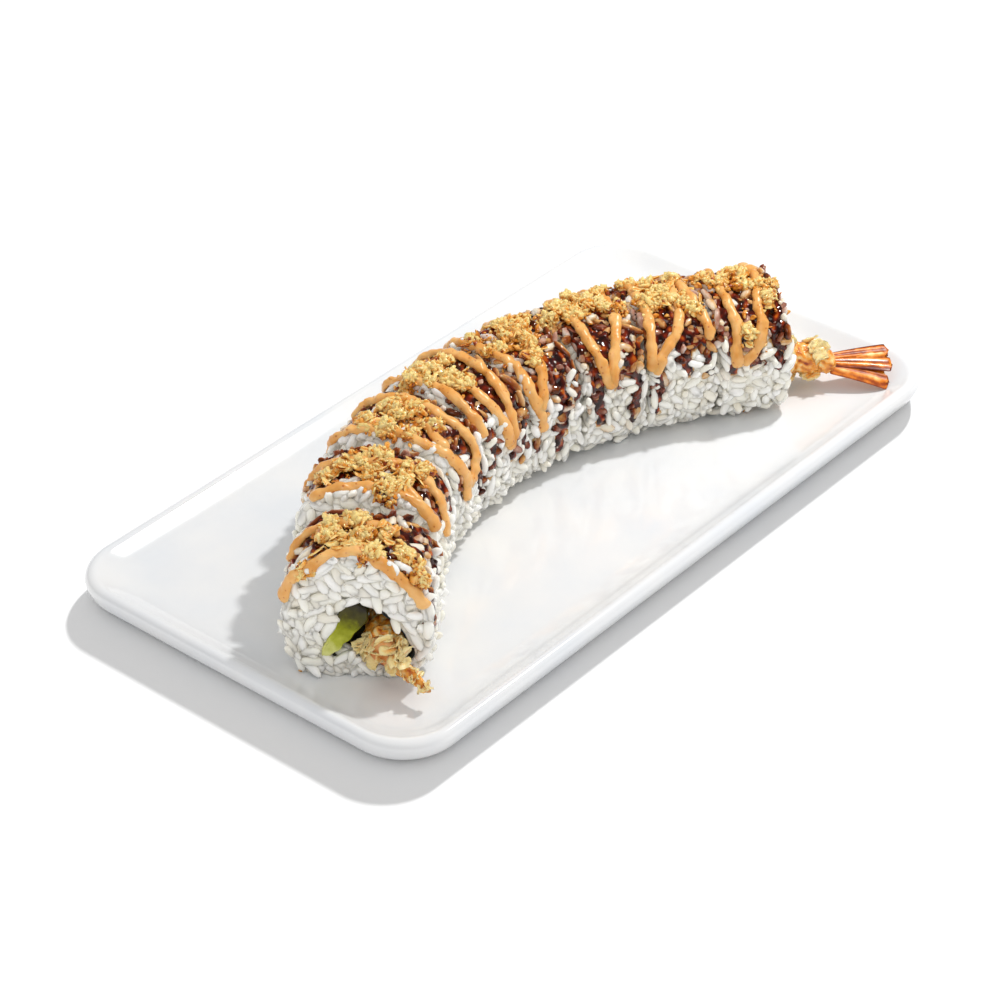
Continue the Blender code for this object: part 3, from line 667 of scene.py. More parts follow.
def shell_finish():
    """Fried shrimp shell: thin hard chitin, orange-red, streaked along its blades.

    It gives the eye sharp gleams on its ridges and darker, redder hollows, mottled 3.3 mm
    apart. The ridge attribute paints the ridges pale gold, a painted highlight, and the
    grooves darker red, a painted shade.
    """
    material, tree, shader, place = new_finish(
        "fried_shell", IOR=1.42, Roughness=0.34, Coat_Weight=0.12, Coat_Roughness=0.1)
    ridge = add_node(tree, "Attribute", {"attribute_name": "ridge"}).outputs["Fac"]
    mottle = add_node(tree, "TexNoise", values={"Scale": 300.0, "Detail": 5.0},
                      links={"Vector": place}).outputs["Fac"]
    colour = add_node(tree, "ValToRGB",
                      links={"Fac": varied(tree, ridge, mottle, 1.1, -0.6)},
                      stops=((0.05, linear("641600")), (0.34, main_colours().tail),
                             (0.58, linear("EA8418")), (0.90, linear("FFD284"))))
    tree.links.new(colour.outputs["Color"], shader.inputs["Base Color"])
    bump = add_node(tree, "Bump", values={"Strength": 0.5, "Distance": 0.0003},
                    links={"Height": mottle})
    tree.links.new(bump.outputs["Normal"], shader.inputs["Normal"])
    return material


def glaze_finish():
    """Sweet eel sauce: a thick soy syrup, dark red-brown, amber where it is thin.

    It gives the eye the sharpest highlights on the roll, and streaks 4 mm apart.
    """
    material, tree, shader, place = new_finish(
        "eel_sauce", IOR=1.42, Roughness=0.07, Coat_Weight=0.25, Coat_Roughness=0.03)
    thick = add_node(tree, "Attribute", {"attribute_name": "thick"}).outputs["Fac"]
    streak = add_node(tree, "TexNoise", values={"Scale": 260.0, "Detail": 3.0},
                      links={"Vector": place}).outputs["Fac"]
    colour = add_node(tree, "ValToRGB",
                      links={"Fac": varied(tree, thick, streak, 0.9, -0.45)},
                      stops=((0.05, linear("B4560E")), (0.28, linear("7A2004")),
                             (0.5, main_colours().sauce), (0.85, linear("1C0401"))))
    tree.links.new(colour.outputs["Color"], shader.inputs["Base Color"])
    bump = add_node(tree, "Bump", values={"Strength": 0.25, "Distance": 0.0004},
                    links={"Height": streak})
    tree.links.new(bump.outputs["Normal"], shader.inputs["Normal"])
    return material


def mayonnaise_finish():
    """Chilli mayonnaise: an opaque orange-tan emulsion, squeezed from a bottle.

    It gives the eye a satin gloss, a tone that changes over 7 mm, and red specks half a
    millimetre wide and 2.4 mm apart.
    """
    material, tree, shader, place = new_finish(
        "chilli_mayonnaise", IOR=1.47, Roughness=0.3, Subsurface_Weight=0.25,
        Subsurface_Radius=(0.0014, 0.0009, 0.0005), Subsurface_Scale=1.0)
    cloud = add_node(tree, "TexNoise", values={"Scale": 150.0, "Detail": 3.0},
                     links={"Vector": place}).outputs["Fac"]
    base = add_node(tree, "ValToRGB", links={"Fac": cloud},
                    stops=((0.3, linear("DE9844")), (0.7, main_colours().mayonnaise)))
    speck = add_node(tree, "TexVoronoi", values={"Scale": 420.0},
                     links={"Vector": place}).outputs["Distance"]
    mask = add_node(tree, "MapRange",
                    values={"From Min": 0.1, "From Max": 0.2, "To Min": 0.75, "To Max": 0.0},
                    links={"Value": speck})
    colour = add_node(tree, "Mix", {"data_type": "RGBA"}, {7: linear("B4551C")},
                      {0: mask.outputs["Result"], 6: base.outputs["Color"]})
    tree.links.new(colour.outputs[2], shader.inputs["Base Color"])
    bump = add_node(tree, "Bump", values={"Strength": 0.25, "Distance": 0.0006},
                    links={"Height": cloud})
    tree.links.new(bump.outputs["Normal"], shader.inputs["Normal"])
    return material


# ---- plate ----

# How far in from the plate's edge, and how high, its wall's section runs, in millimetres.
PLATE_SECTION = ((24.0, 1.2), (18.0, 1.2), (15.6, 0.9), (14.5, 0.1), (11.5, 0.0), (8.5, 0.1),
                 (5.4, 0.5), (3.0, 1.4), (1.6, 2.6), (0.7, 4.2), (0.1, 6.0), (0.0, 7.2),
                 (0.5, 8.8), (1.3, 9.6), (2.5, 10.0), (3.7, 9.7), (5.2, 8.8), (8.5, 6.9),
                 (11.2, 5.7), (14.0, 4.9), (17.5, 4.3), (22.0, 4.05), (27.0, 4.0))
PLATE_CORNER = 21.0 * MM
CORNER_POINTS = 22
EDGE_POINTS = 18
SECTION_POINTS = 84
# How far out from its middle the plate's flat floor and underside have rings, as shares.
FLAT_RINGS = (0.75, 0.5, 0.25, 0.04)


def plate_outline(inset, half_length, half_width):
    """A rounded rectangle drawn in by inset, and its corners by half as much.

    Each side has even steps and each corner a quarter circle, for a whole column of insets.
    """
    radius = PLATE_CORNER - 0.5 * inset
    turn = np.linspace(0.0, 0.5 * math.pi, CORNER_POINTS)
    arcs = []
    for k, (right, back) in enumerate(((1, 1), (-1, 1), (-1, -1), (1, -1))):
        angle = turn + 0.5 * math.pi * k
        arcs.append(np.stack([
            right * (half_length - inset - radius) + radius * np.cos(angle),
            back * (half_width - inset - radius) + radius * np.sin(angle)], axis=-1))
    step = np.linspace(0.0, 1.0, EDGE_POINTS + 2)[1:-1][None, :, None]
    parts = []
    for arc, after in zip(arcs, arcs[1:] + arcs[:1]):
        parts += [arc, arc[:, -1:] * (1.0 - step) + after[:, :1] * step]
    return np.concatenate(parts, axis=1)


def build_plate():
    """The wall's section swept round the plate, then drawn in flat to its middle."""
    low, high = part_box("plate")
    half_length, half_width = 0.5 * (high.x - low.x), 0.5 * (high.y - low.y)
    section = spline(np.array(PLATE_SECTION) * MM, SECTION_POINTS)
    section[:, 1] = np.maximum(section[:, 1], 0.0) + low.z
    section[:, 0] = np.maximum(section[:, 0], 0.0)
    rings = plate_outline(section[:, :1], half_length, half_width)
    points = np.concatenate([rings, np.broadcast_to(section[:, 1, None, None],
                                                    (*rings.shape[:2], 1))], axis=2)
    shrink = np.array(FLAT_RINGS)[:, None, None]
    under = points[:1] * np.concatenate([shrink[::-1], shrink[::-1],
                                         np.ones_like(shrink)], axis=2)
    floor = points[-1:] * np.concatenate([shrink, shrink, np.ones_like(shrink)], axis=2)
    points = np.concatenate([under, points, floor])
    rows, columns = points.shape[:2]
    poles = np.array([[0.0, 0.0, points[0, 0, 2]], [0.0, 0.0, points[-1, 0, 2]]])
    points = np.concatenate([points.reshape(-1, 3), poles])
    piece("porcelain_plate", points, lattice(rows, columns), caps(rows, columns),
          porcelain_finish(), ["plate"])


# ---- rice ----

# Where a grain's rings lie, as shares of its half length.
GRAIN_STATIONS = (-0.9, -0.58, 0.0, 0.58, 0.9)
GRAIN_AROUND = 8
# The layers of grains on a slice's skin, the second one proud: how many, how deep their
# middles lie and how much that varies, in millimetres.
SKIN_LAYERS = ((300, 1.15, 0.45), (46, 0.50, 0.40))
# The layers of grains in each cut face: how many, and how deep in millimetres.
FACE_LAYERS = ((84, 1.15), (14, 0.40))
# How near two grains may lie, on the skin and in a cut face.
SKIN_SPACING = 2.8 * MM
FACE_SPACING = 3.15 * MM
# How far from a grain's middle its two outer discs stand while the grains settle.
GRAIN_ARM = 2.15 * MM
SETTLING_ROUNDS = 26
# How deep a grain sinks under sauce. From where to where down the sides the grains come to
# lie in lumps, and the lumps' height and length.
SUNK = 1.0 * MM
SIDE_FROM, SIDE_TO = 18.0 * MM, 28.0 * MM
LUMP_HEIGHT = 0.45 * MM
LUMP_LENGTH = 9.0 * MM
# The first slice's cut face shows larger grains.
FRONT_SWELL = 1.12


def grain_shape():
    """One plump grain a unit across each half: a blunt spindle, 8 points round.

    Its radius is the root of one less the 2.6th power of the distance from its middle.
    """
    station = np.array(GRAIN_STATIONS)
    radius = np.sqrt(1.0 - np.abs(station) ** 2.6)
    turn = np.linspace(0.0, 2.0 * math.pi, GRAIN_AROUND, endpoint=False)
    rows = len(station)
    ring = np.stack([np.broadcast_to(station[:, None], (rows, GRAIN_AROUND)),
                     radius[:, None] * np.cos(turn), radius[:, None] * np.sin(turn)], axis=2)
    shape = np.concatenate([ring.reshape(-1, 3), [[-1.0, 0.0, 0.0], [1.0, 0.0, 0.0]]])
    return shape, lattice(rows, GRAIN_AROUND), caps(rows, GRAIN_AROUND)


def settle(place, turn, spacing, period, fence):
    """Grains laid in a plane, pushed apart until they hardly overlap.

    Each grain is three discs in a row. Discs of two grains nearer than the spacing push
    each other apart by a share of what they overlap, which moves and turns their grains,
    and the fence pushes discs back inside its edge. The first axis may repeat.
    """
    reach = GRAIN_ARM * np.array([-1.0, 0.0, 1.0])
    own = np.kron(np.eye(len(place), dtype=bool), np.ones((3, 3), bool))
    for _ in range(SETTLING_ROUNDS):
        axis = np.stack([np.cos(turn), np.sin(turn)], axis=1)
        discs = (place[:, None] + reach[None, :, None] * axis[:, None]).reshape(-1, 2)
        gap = (discs[:, None] - discs[None]).astype(np.float32)
        if period:
            gap[..., 0] -= period * np.round(gap[..., 0] / period)
        distance = np.sqrt(gap[..., 0] ** 2 + gap[..., 1] ** 2) + 1e-7
        share = np.where(own, 0.0, np.maximum(spacing - distance, 0.0) / distance)
        push = 0.3 * np.einsum("ij,ijk->ik", share, gap) + fence(discs)
        push = push.reshape(-1, 3, 2)
        place = place + push.sum(1) * 0.8
        twist = axis[:, None, 0] * push[..., 1] - axis[:, None, 1] * push[..., 0]
        turn = turn + 0.8 * (reach * twist).sum(1) / (2.0 * GRAIN_ARM ** 2)
    return place, turn


def skin_grains(cut, count, depth, jitter, seed):
    """Grains lying along a slice's skin: their middles, axes and places on it."""
    rng = np.random.default_rng(seed)
    span = 2.0 * cut.half_thick
    place = rng.uniform((0.0, 0.0), (cut.round, span), (count, 2))
    turn = rng.uniform(0.0, math.pi, count)

    def fence(discs):
        inside = np.clip(discs[:, 1], 1.5 * MM, span - 1.5 * MM)
        return np.stack([np.zeros(len(discs)), 0.5 * (inside - discs[:, 1])], axis=1)

    place, turn = settle(place, turn, SKIN_SPACING, cut.round, fence)
    down = place[:, 0] % cut.round + cut.down[0]
    lift = -depth + jitter * rng.uniform(-1.0, 1.0, count)
    along = (place[:, 1] / cut.half_thick - 1.0) * cut.half_at(cut.section(down)[0])
    lift = lift - SUNK * cut.soaked(along, down) * rng.uniform(0.2, 1.2, count)
    aside = smooth_step(np.abs(down), SIDE_FROM, SIDE_TO)
    lumps = waves(np.stack([along, down], 1), LUMP_LENGTH, SEED + 17)
    lift = lift + LUMP_HEIGHT * aside * lumps
    _, _, across, up = cut.section(down)
    middle = cut.skin(along, down, lift)
    normal = across[:, None] * cut.left + up[:, None] * cut.up
    round_way = -up[:, None] * cut.left + across[:, None] * cut.up
    first = np.cos(turn)[:, None] * round_way + np.sin(turn)[:, None] * cut.ahead
    tilt = rng.normal(0.0, 0.18, count) * (1.0 + 1.5 * aside)
    axes = turned_axes(first, normal, tilt, rng.uniform(-0.6, 0.6, count))
    return middle, axes, along, down


def face_grains(cut, end, count, depth, seed):
    """Grains in a slice's cut face, between its opening and its skin."""
    rng = np.random.default_rng(seed)
    bearing = rng.uniform(-math.pi, math.pi, count * 3)
    low, high = cut.hole_radius(bearing), cut.outer_radius(bearing)
    radius = np.sqrt(rng.uniform(low ** 2, high ** 2))
    keep = rng.permutation(len(bearing))
    weight = (high ** 2 - low ** 2)[keep]
    keep = keep[np.argsort(-weight * rng.uniform(0.0, 1.0, len(keep)))][:count]
    bearing, radius = bearing[keep], radius[keep]
    place = cut.hole_middle + radius[:, None] * np.stack([np.cos(bearing), np.sin(bearing)], 1)
    turn = rng.uniform(0.0, math.pi, count)

    def fence(discs):
        away = discs - cut.hole_middle
        angle = np.arctan2(away[:, 1], away[:, 0])
        far = np.linalg.norm(away, axis=1)
        wanted = np.maximum(far, cut.hole_radius(angle) + 1.25 * MM)
        wanted = np.minimum(wanted, cut.outer_radius(angle) - 1.3 * MM)
        return 0.5 * away * (wanted / far - 1.0)[:, None]

    place, turn = settle(place, turn, FACE_SPACING, 0.0, fence)
    along = end * (cut.half_at(place[:, 0]) - depth + 0.75 * MM * rng.uniform(-1, 0.8, count))
    middle = cut.world(np.stack([along, place[:, 0], place[:, 1]], axis=1))
    first = np.cos(turn)[:, None] * cut.left + np.sin(turn)[:, None] * cut.up
    normal = np.broadcast_to(end * cut.ahead, first.shape)
    tilt = np.where(rng.uniform(size=count) < 0.3, rng.uniform(-0.9, 0.9, count),
                    rng.normal(0.0, 0.28, count))
    axes = turned_axes(first, normal, tilt, rng.uniform(-0.8, 0.8, count))
    return middle, axes, place


# The rice core: points round it, its rings on each face, each rounded edge and the skin,
# how far from the middle ring sauce may stain, and how far it lies inside the slice's skin
# and its cut faces.
CORE_AROUND = 150
CORE_FACE, CORE_EDGE, CORE_SKIN = 9, 4, 18
CORE_STAINED = 12
CORE_SKIN_DEPTH = 1.35 * MM
CORE_FACE_DEPTH = 1.4 * MM


def build_core(cut, finish):
    """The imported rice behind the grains: the slice's outline drawn in, with its hole.

    A ring runs from the hole out over the front face, along the skin with rounded edges
    and back over the other face, and lumps as wide as a grain stand on it.
    """
    count = CORE_AROUND
    bearing = np.linspace(-math.pi, math.pi, count, endpoint=False)
    way = np.stack([np.cos(bearing), np.sin(bearing)], axis=1)
    inner = cut.hole_middle + (cut.hole_radius(bearing) + 0.1 * MM)[:, None] * way
    outer = cut.hole_middle + (cut.outer_radius(bearing) - CORE_SKIN_DEPTH)[:, None] * way
    turn = np.linspace(0.0, 0.5 * math.pi, CORE_EDGE + 1)[1:]
    corner = CUT_EDGE / np.linalg.norm(outer - inner, axis=1)
    straight = np.linspace(0.06, 1.0, CORE_FACE)[:, None] * (1.0 - corner)[None]
    bend = 1.0 - corner[None] * (1.0 - np.sin(turn))[:, None]
    share = np.concatenate([straight, bend, np.ones((CORE_SKIN, count)), bend[::-1],
                            straight[::-1]])
    flat_share = inner[None] + (outer - inner)[None] * share[..., None]
    reach = cut.half_at(flat_share[..., 0]) - CORE_FACE_DEPTH
    edge = CUT_EDGE * (1.0 - np.cos(turn))[:, None] + np.zeros((CORE_EDGE, count))
    inset = np.concatenate([np.zeros((CORE_FACE, count)), edge])
    walk = np.linspace(-1.0, 1.0, CORE_SKIN + 2)[1:-1][:, None]
    first, last = len(inset), len(inset) + CORE_SKIN
    along = np.concatenate([inset - reach[:first], walk * (reach[first:last] - CUT_EDGE),
                            reach[last:] - inset[::-1]])
    rings = np.concatenate([along[..., None], flat_share], axis=2)
    front = cut.half_at(inner[:, 0]) - CORE_FACE_DEPTH
    mouth = np.concatenate([front[:, None], inner], axis=1)
    rings = np.concatenate([mouth[None] * [-1.0, 1.0, 1.0], rings, mouth[None]])
    world = cut.world(rings).reshape(-1, 3)
    lump = LUMP_HEIGHT * waves(world, 3.6 * MM, SEED + cut.number)
    flat = rings.reshape(-1, 3)
    outwards = np.stack([np.sign(flat[:, 0]) * (np.abs(flat[:, 0]) > 9.0 * MM) * 0.7,
                         *(flat[:, 1:] - cut.hole_middle).T / 25.0 / MM], axis=1)
    world = cut.world(flat + lump[:, None] * outwards)
    angle = np.arctan2(flat[:, 2] - cut.hole_middle[1], flat[:, 1] - cut.hole_middle[0])
    soak = cut.soaked(flat[:, 0], cut.down_at(angle))
    skin = np.abs(np.arange(len(rings)) - 0.5 * (len(rings) - 1)) < CORE_STAINED
    soak = np.where(np.repeat(skin, count), soak, 0.0)
    # Its tint follows the lumps' height, so the dips are painted a darker cream than the tops:
    # painted shade.
    piece(f"rice_core_{cut.number}", world, lattice(len(rings), count, close=True),
          NO_TRIANGLES, finish, [f"rice_{cut.number}"],
          {"tint": 0.5 + 0.2 * lump / MM, "soak": 0.9 * soak})


# The rice's upper edge under the first slice's filling: millimetres across and up.
LIP = ((-13, 1), (-9, 2.5), (-5, 5), (0, 8.2), (3, 8.4), (8, 7), (15, 6))
LIP_GRAINS = 54


def lip_grains(cut, seed):
    """Grains banked in front of the first opening, up to the lip's edge."""
    rng = np.random.default_rng(seed)
    across = rng.uniform(LIP[0][0], LIP[-1][0], LIP_GRAINS) * MM
    edge = np.interp(across, *(np.array(LIP).T * MM))
    up = rng.uniform(0.0, 1.0, LIP_GRAINS) * np.maximum(edge - 1.2 * MM, 0.2 * MM)
    along = -cut.half_at(across) + rng.uniform(0.9, 4.5, LIP_GRAINS) * MM
    middle = cut.world(np.stack([along, across, up], axis=1))
    turn = rng.uniform(0.0, math.pi, LIP_GRAINS)
    first = np.cos(turn)[:, None] * cut.left + np.sin(turn)[:, None] * cut.up
    normal = np.broadcast_to(-cut.ahead, first.shape)
    axes = turned_axes(first, normal, rng.normal(0.0, 0.4, LIP_GRAINS),
                       rng.uniform(-0.6, 0.6, LIP_GRAINS))
    return middle, axes


def grain_groups(cut, seed):
    """Each group of a slice's grains: their middles and axes, their stain and their swell.

    Grains lie under the skin and proud of it, then in each cut face, stained near the
    skin, and last come the lip's grains and the one that fell.
    """
    for layer, (count, depth, jitter) in enumerate(SKIN_LAYERS):
        middle, axes, along, down = skin_grains(cut, count, depth * MM, jitter * MM,
                                                seed + layer)
        low = smooth_step(down, 22.0 * MM, 30.0 * MM)
        yield middle, axes, cut.soaked(along, down), 1.0 - 0.1 * low
    for end, salt in ((-1.0, 2), (1.0, 3)):
        for layer, (count, depth) in enumerate(FACE_LAYERS):
            middle, axes, place = face_grains(cut, end, count, depth * MM,
                                              seed + salt + 4 * layer)
            away = place - cut.hole_middle
            bearing = np.arctan2(away[:, 1], away[:, 0])
            edge = cut.outer_radius(bearing)
            high = smooth_step(np.linalg.norm(away, axis=1), edge - 6.5 * MM, edge - 1.5 * MM)
            amount = cut.soaked(end * cut.half_thick + np.zeros(len(place)),
                                cut.down_at(bearing))
            swell = FRONT_SWELL if cut.number == 1 else 1.0
            yield middle, axes, 0.9 * high * amount, np.full(len(middle), swell)
    if cut.number == 1:
        middle, axes = lip_grains(cut, seed + 8)
        yield middle, axes, np.zeros(len(middle)), np.ones(len(middle))
    if cut.number == FALLEN[0]:
        yield np.array([FALLEN[1]]) * MM, np.eye(3)[None], np.zeros(1), np.ones(1)


def build_grains(cut, finish, sizes):
    """Every grain of a slice, each with its own size, bend, dents, tint and stain."""
    seed = SEED + 100 * cut.number
    shape, quads, triangles = grain_shape()
    groups = zip(*grain_groups(cut, seed))
    middles, axes, soak, swell = (np.concatenate(part) for part in groups)
    rng = np.random.default_rng(seed + 9)
    count = len(middles)
    half = 0.5 * np.array([sizes.grain_length, sizes.grain_width, sizes.grain_width * 0.84])
    own = rng.normal(1.0, (0.13, 0.12, 0.10), (count, 3)).clip(0.7, 1.35)
    size = half * swell[:, None] ** np.array([1.6, 0.5, 0.5]) * own
    shapes = np.broadcast_to(shape, (count, *shape.shape)).copy()
    bend = rng.uniform(-0.18, 0.18, (count, 1))
    shapes[..., 1] += bend * (1.0 - shapes[..., 0] ** 2) * 1.2
    shapes += rng.normal(0.0, 0.045, shapes.shape)
    points = copies(shapes, axes, middles, size)
    points[..., 2] = np.maximum(points[..., 2], PLATE_FLOOR + 0.04 * MM)
    soak = soak * rng.uniform(0.5, 1.4, count)
    low = 0.85 - 0.45 * shapes[..., 2]
    values = {"tint": np.outer(rng.uniform(0.0, 1.0, count), np.ones(len(shape))),
              "soak": np.clip(soak[:, None] * low, 0.0, 1.0)}
    piece(f"rice_grains_{cut.number}", points, copied_faces(quads, count, len(shape)),
          copied_faces(triangles, count, len(shape)), finish,
          [f"rice_{cut.number}"], values)


# ---- filling ----

SHEET_AROUND = 120
SHEET_STATIONS = 22
# How far inside the opening the sheet's outer and inner sides lie.
SHEET_SIDES = (0.15 * MM, 0.50 * MM)


def build_seaweed(cut, finish):
    """The sheet round the filling: a thin tube, rippled, with uneven cut ends."""
    count, stations = SHEET_AROUND, SHEET_STATIONS
    bearing = np.linspace(-math.pi, math.pi, count, endpoint=False)
    way = np.stack([np.cos(bearing), np.sin(bearing)], axis=1)
    share = np.linspace(-1.0, 1.0, stations)[:, None]
    radius = cut.hole_radius(bearing)[None] + np.zeros((stations, 1))
    round_edge = np.stack([3.0 * MM * bearing, 0.0 * bearing], axis=1)
    ragged = 0.6 * MM * waves(round_edge, 3.0 * MM, SEED + 5 * cut.number)
    layers = []
    for inset in SHEET_SIDES:
        place = cut.hole_middle + (radius - inset)[..., None] * way
        along = share * (cut.half_at(place[..., 0]) - 1.3 * MM + ragged)
        local = np.concatenate([along[..., None], place], axis=2)
        ripple = 0.28 * MM * (waves(local, 5.0 * MM, SEED + cut.number) - 0.6)
        place = cut.hole_middle + (radius - inset + ripple)[..., None] * way
        layers.append(np.concatenate([along[..., None], place], axis=2))
    rings = np.concatenate([layers[0], layers[1][::-1]])
    piece(f"seaweed_{cut.number}", cut.world(rings), lattice(len(rings), count, close=True),
          NO_TRIANGLES, finish, [f"nori_{cut.number}"])


# The first avocado wedge's outline in its slice, in millimetres across and up, then the
# stations along a wedge and how much it shrinks where the knife's edge is rounded.
WEDGE = ((3.4, 29.2), (-0.6, 29.0), (-3.0, 26.6), (-2.9, 23.0), (-0.6, 18.6), (2.4, 15.4),
         (4.6, 12.4), (6.8, 9.3), (9.6, 7.4), (12.2, 6.9), (12.3, 8.6), (10.6, 13.2),
         (8.6, 18.0), (6.9, 22.5), (5.4, 26.6))
WEDGE_STATIONS = ((-1.0, 0.86), (-0.995, 0.93), (-0.97, 0.98), (-0.9, 1.0), (-0.6, 1.0),
                  (-0.2, 1.0), (0.2, 1.0), (0.6, 1.0), (0.9, 1.0), (0.97, 0.98),
                  (0.995, 0.93), (1.0, 0.86))
WEDGE_POINTS = 72


def build_avocado(cut, finish):
    """A wedge of avocado: its outline carried along, rounded where the knife cut it."""
    outline = spline(np.array(WEDGE) * MM, WEDGE_POINTS, closed=True)
    low, high = outline.min(0), outline.max(0)
    if cut.number > 1:
        body = cut.local(node_points(f"avocado_{cut.number}"))[:, 1:]
        outline = body.min(0) + (outline - low) / (high - low) * np.ptp(body, axis=0)
    middle = outline.mean(0)
    share, size = np.array(WEDGE_STATIONS).T
    place = middle + (outline - middle)[None] * size[:, None, None]
    reach = cut.half_at(place[..., 0])
    if cut.number == 1:
        reach = reach + np.where(share < 0.0, 0.6 * MM, 0.0)[:, None]
    along = share[:, None] * (reach - 0.4 * MM)
    local = np.concatenate([along[..., None], place], axis=2)
    local[..., 1:] += 0.25 * MM * waves(local, 4.0 * MM, SEED + cut.number)[..., None]
    rows, columns = local.shape[:2]
    cap_in = [(local[k] * 0.45 + local[k].mean(0) * 0.55)[None] for k in (0, -1)]
    local = np.concatenate([cap_in[0], local, cap_in[1]])
    rows += 2
    poles = local[[0, -1]].mean(1)
    flat = np.concatenate([local.reshape(-1, 3), poles])
    up = (flat[:, 2] - flat[:, 2].min()) / np.ptp(flat[:, 2])
    lean = (flat[:, 1] - flat[:, 1].min()) / np.ptp(flat[:, 1])
    ripe = 1.0 - up * 0.95 + 0.25 * (lean - 0.5)
    piece(f"avocado_wedge_{cut.number}", cut.world(flat), lattice(rows, columns),
          caps(rows, columns), finish, [f"avocado_{cut.number}"], {"ripe": ripe})


def spine(cut, name):
    """A lofted body's stations: along, then its middle across and up, and half sizes."""
    body = cut.local(node_points(name))
    station = np.unique(body[:, 0].round(4))
    rows = []
    for x in station:
        ring = body[np.abs(body[:, 0] - x) < 0.06 * MM][:, 1:]
        rows.append([x, *(0.5 * (ring.min(0) + ring.max(0))), *(0.5 * np.ptp(ring, axis=0))])
    return np.array(rows)


def tube(path, around, swell):
    """Rings round a path of (along, across, up, half sizes): ovals scaled by a swell."""
    turn = np.linspace(0.0, 2.0 * math.pi, around, endpoint=False)
    oval = np.stack([np.zeros(around), np.cos(turn), np.sin(turn)], axis=1)
    scale = np.stack([np.ones(len(path)), path[:, 3], path[:, 4]], axis=1)
    return path[:, None, :3] + oval[None] * scale[:, None] * swell[..., None]


MEAT_STATIONS = 64
MEAT_AROUND = 40


def build_shrimp(cut, finish):
    """The shrimp's meat: an oval tube, ringed by its segments and blushed in bands."""
    path = spline(spine(cut, f"shrimp_{cut.number}"), MEAT_STATIONS)
    around = MEAT_AROUND
    turn = np.linspace(0.0, 2.0 * math.pi, around, endpoint=False)
    ringed = 1.0 - 0.08 * np.abs(np.sin(path[:, 0] / (2.6 * MM))) ** 6
    swell = ringed[:, None] * (1.0 + 0.04 * np.cos(3.0 * turn)[None])
    rings = tube(path, around, swell)
    rings += 0.12 * MM * waves(rings, 1.6 * MM, SEED + cut.number)[..., None]
    poles = rings[[0, -1]].mean(1)
    points = np.concatenate([rings.reshape(-1, 3), poles])
    band = 0.5 + 0.5 * np.sin(points[:, 0] / (1.7 * MM) + waves(points, 5 * MM, 3))
    edge = np.concatenate([np.tile(0.5 - 0.5 * np.sin(turn), len(path)), [0.2, 0.2]])
    blush = 0.35 + 0.4 * band * edge + 0.2 * edge
    piece(f"shrimp_meat_{cut.number}", cut.world(points), lattice(len(path), around),
          caps(len(path), around), finish, [f"shrimp_{cut.number}"],
          {"blush": blush})


FLAKE_ROWS = 7
FLAKE_COLUMNS = 5


def flakes(rng, middles, axes, length, width, thick, curl, ribs):
    """Thin curled chips, one for each middle: their points and how brown they are, painted shade
    on their ribs and undersides included.

    On a grid of p and q from -1 to 1 a chip is p long and q wide, narrower at its ends. It
    is lifted by curl times p squared plus a little of q squared, and by ribs of a sine
    across it. Its top and bottom part by its thickness, which falls to nothing at the rim.
    """
    count = len(middles)
    p, q = np.meshgrid(np.linspace(-1.0, 1.0, FLAKE_ROWS), np.linspace(-1.0, 1.0, FLAKE_COLUMNS),
                       indexing="ij")
    p, q = p.ravel()[None], q.ravel()[None]
    uneven = rng.normal(0.0, 0.10, (count, p.shape[1], 2))
    x = p * (1.0 - 0.18 * q ** 2) + uneven[..., 0]
    y = q * (1.0 - 0.45 * p ** 2) + uneven[..., 1]
    phase = rng.uniform(0.0, 2.0 * math.pi, (count, 1))
    twist = rng.uniform(-0.5, 0.5, (count, 1))
    z = curl[:, None] * (p ** 2 + 0.5 * q ** 2 - 0.4) + twist * p * q
    z = z + ribs * np.sin(4.6 * q + phase) + rng.normal(0.0, 0.05, z.shape)
    half = thick * (0.25 + 0.75 * np.sqrt(np.maximum((1 - p ** 4) * (1 - q ** 4), 0.0)))
    scale = np.stack([length, width, 0.5 * length], axis=1)[:, None]
    flat = np.stack([x, y, z], axis=2) * scale
    top = flat + np.array([0.0, 0.0, 1.0]) * half[..., None]
    base = flat - np.array([0.0, 0.0, 1.0]) * half[..., None]
    local = np.concatenate([top, base], axis=1)
    points = np.einsum("nvk,nkj->nvj", local, axes) + middles[:, None]
    rim = np.maximum(np.abs(p), np.abs(q)) ** 2
    # The rim is paler, as thin fried batter is. Each rib is painted browner on one flank and
    # paler on the other, painted shade and light, and the underside is painted browner, painted
    # shade.
    brown_and_shade = 0.40 - 0.34 * rim + 1.7 * ribs * np.sin(4.6 * q + phase + 1.5)
    brown_and_shade = np.concatenate([brown_and_shade, brown_and_shade + 0.15], axis=1)
    return points, brown_and_shade


def joined(parts):
    """Several closed shapes as one: (points, quads, triangles, value) sets, renumbered."""
    shift = np.cumsum([0] + [len(part[0]) for part in parts])
    points = np.concatenate([part[0] for part in parts])
    quads = np.concatenate([part[1] + shift[k] for k, part in enumerate(parts)])
    triangles = np.concatenate([part[2] + shift[k] for k, part in enumerate(parts)])
    return points, quads, triangles, np.concatenate([part[3] for part in parts])


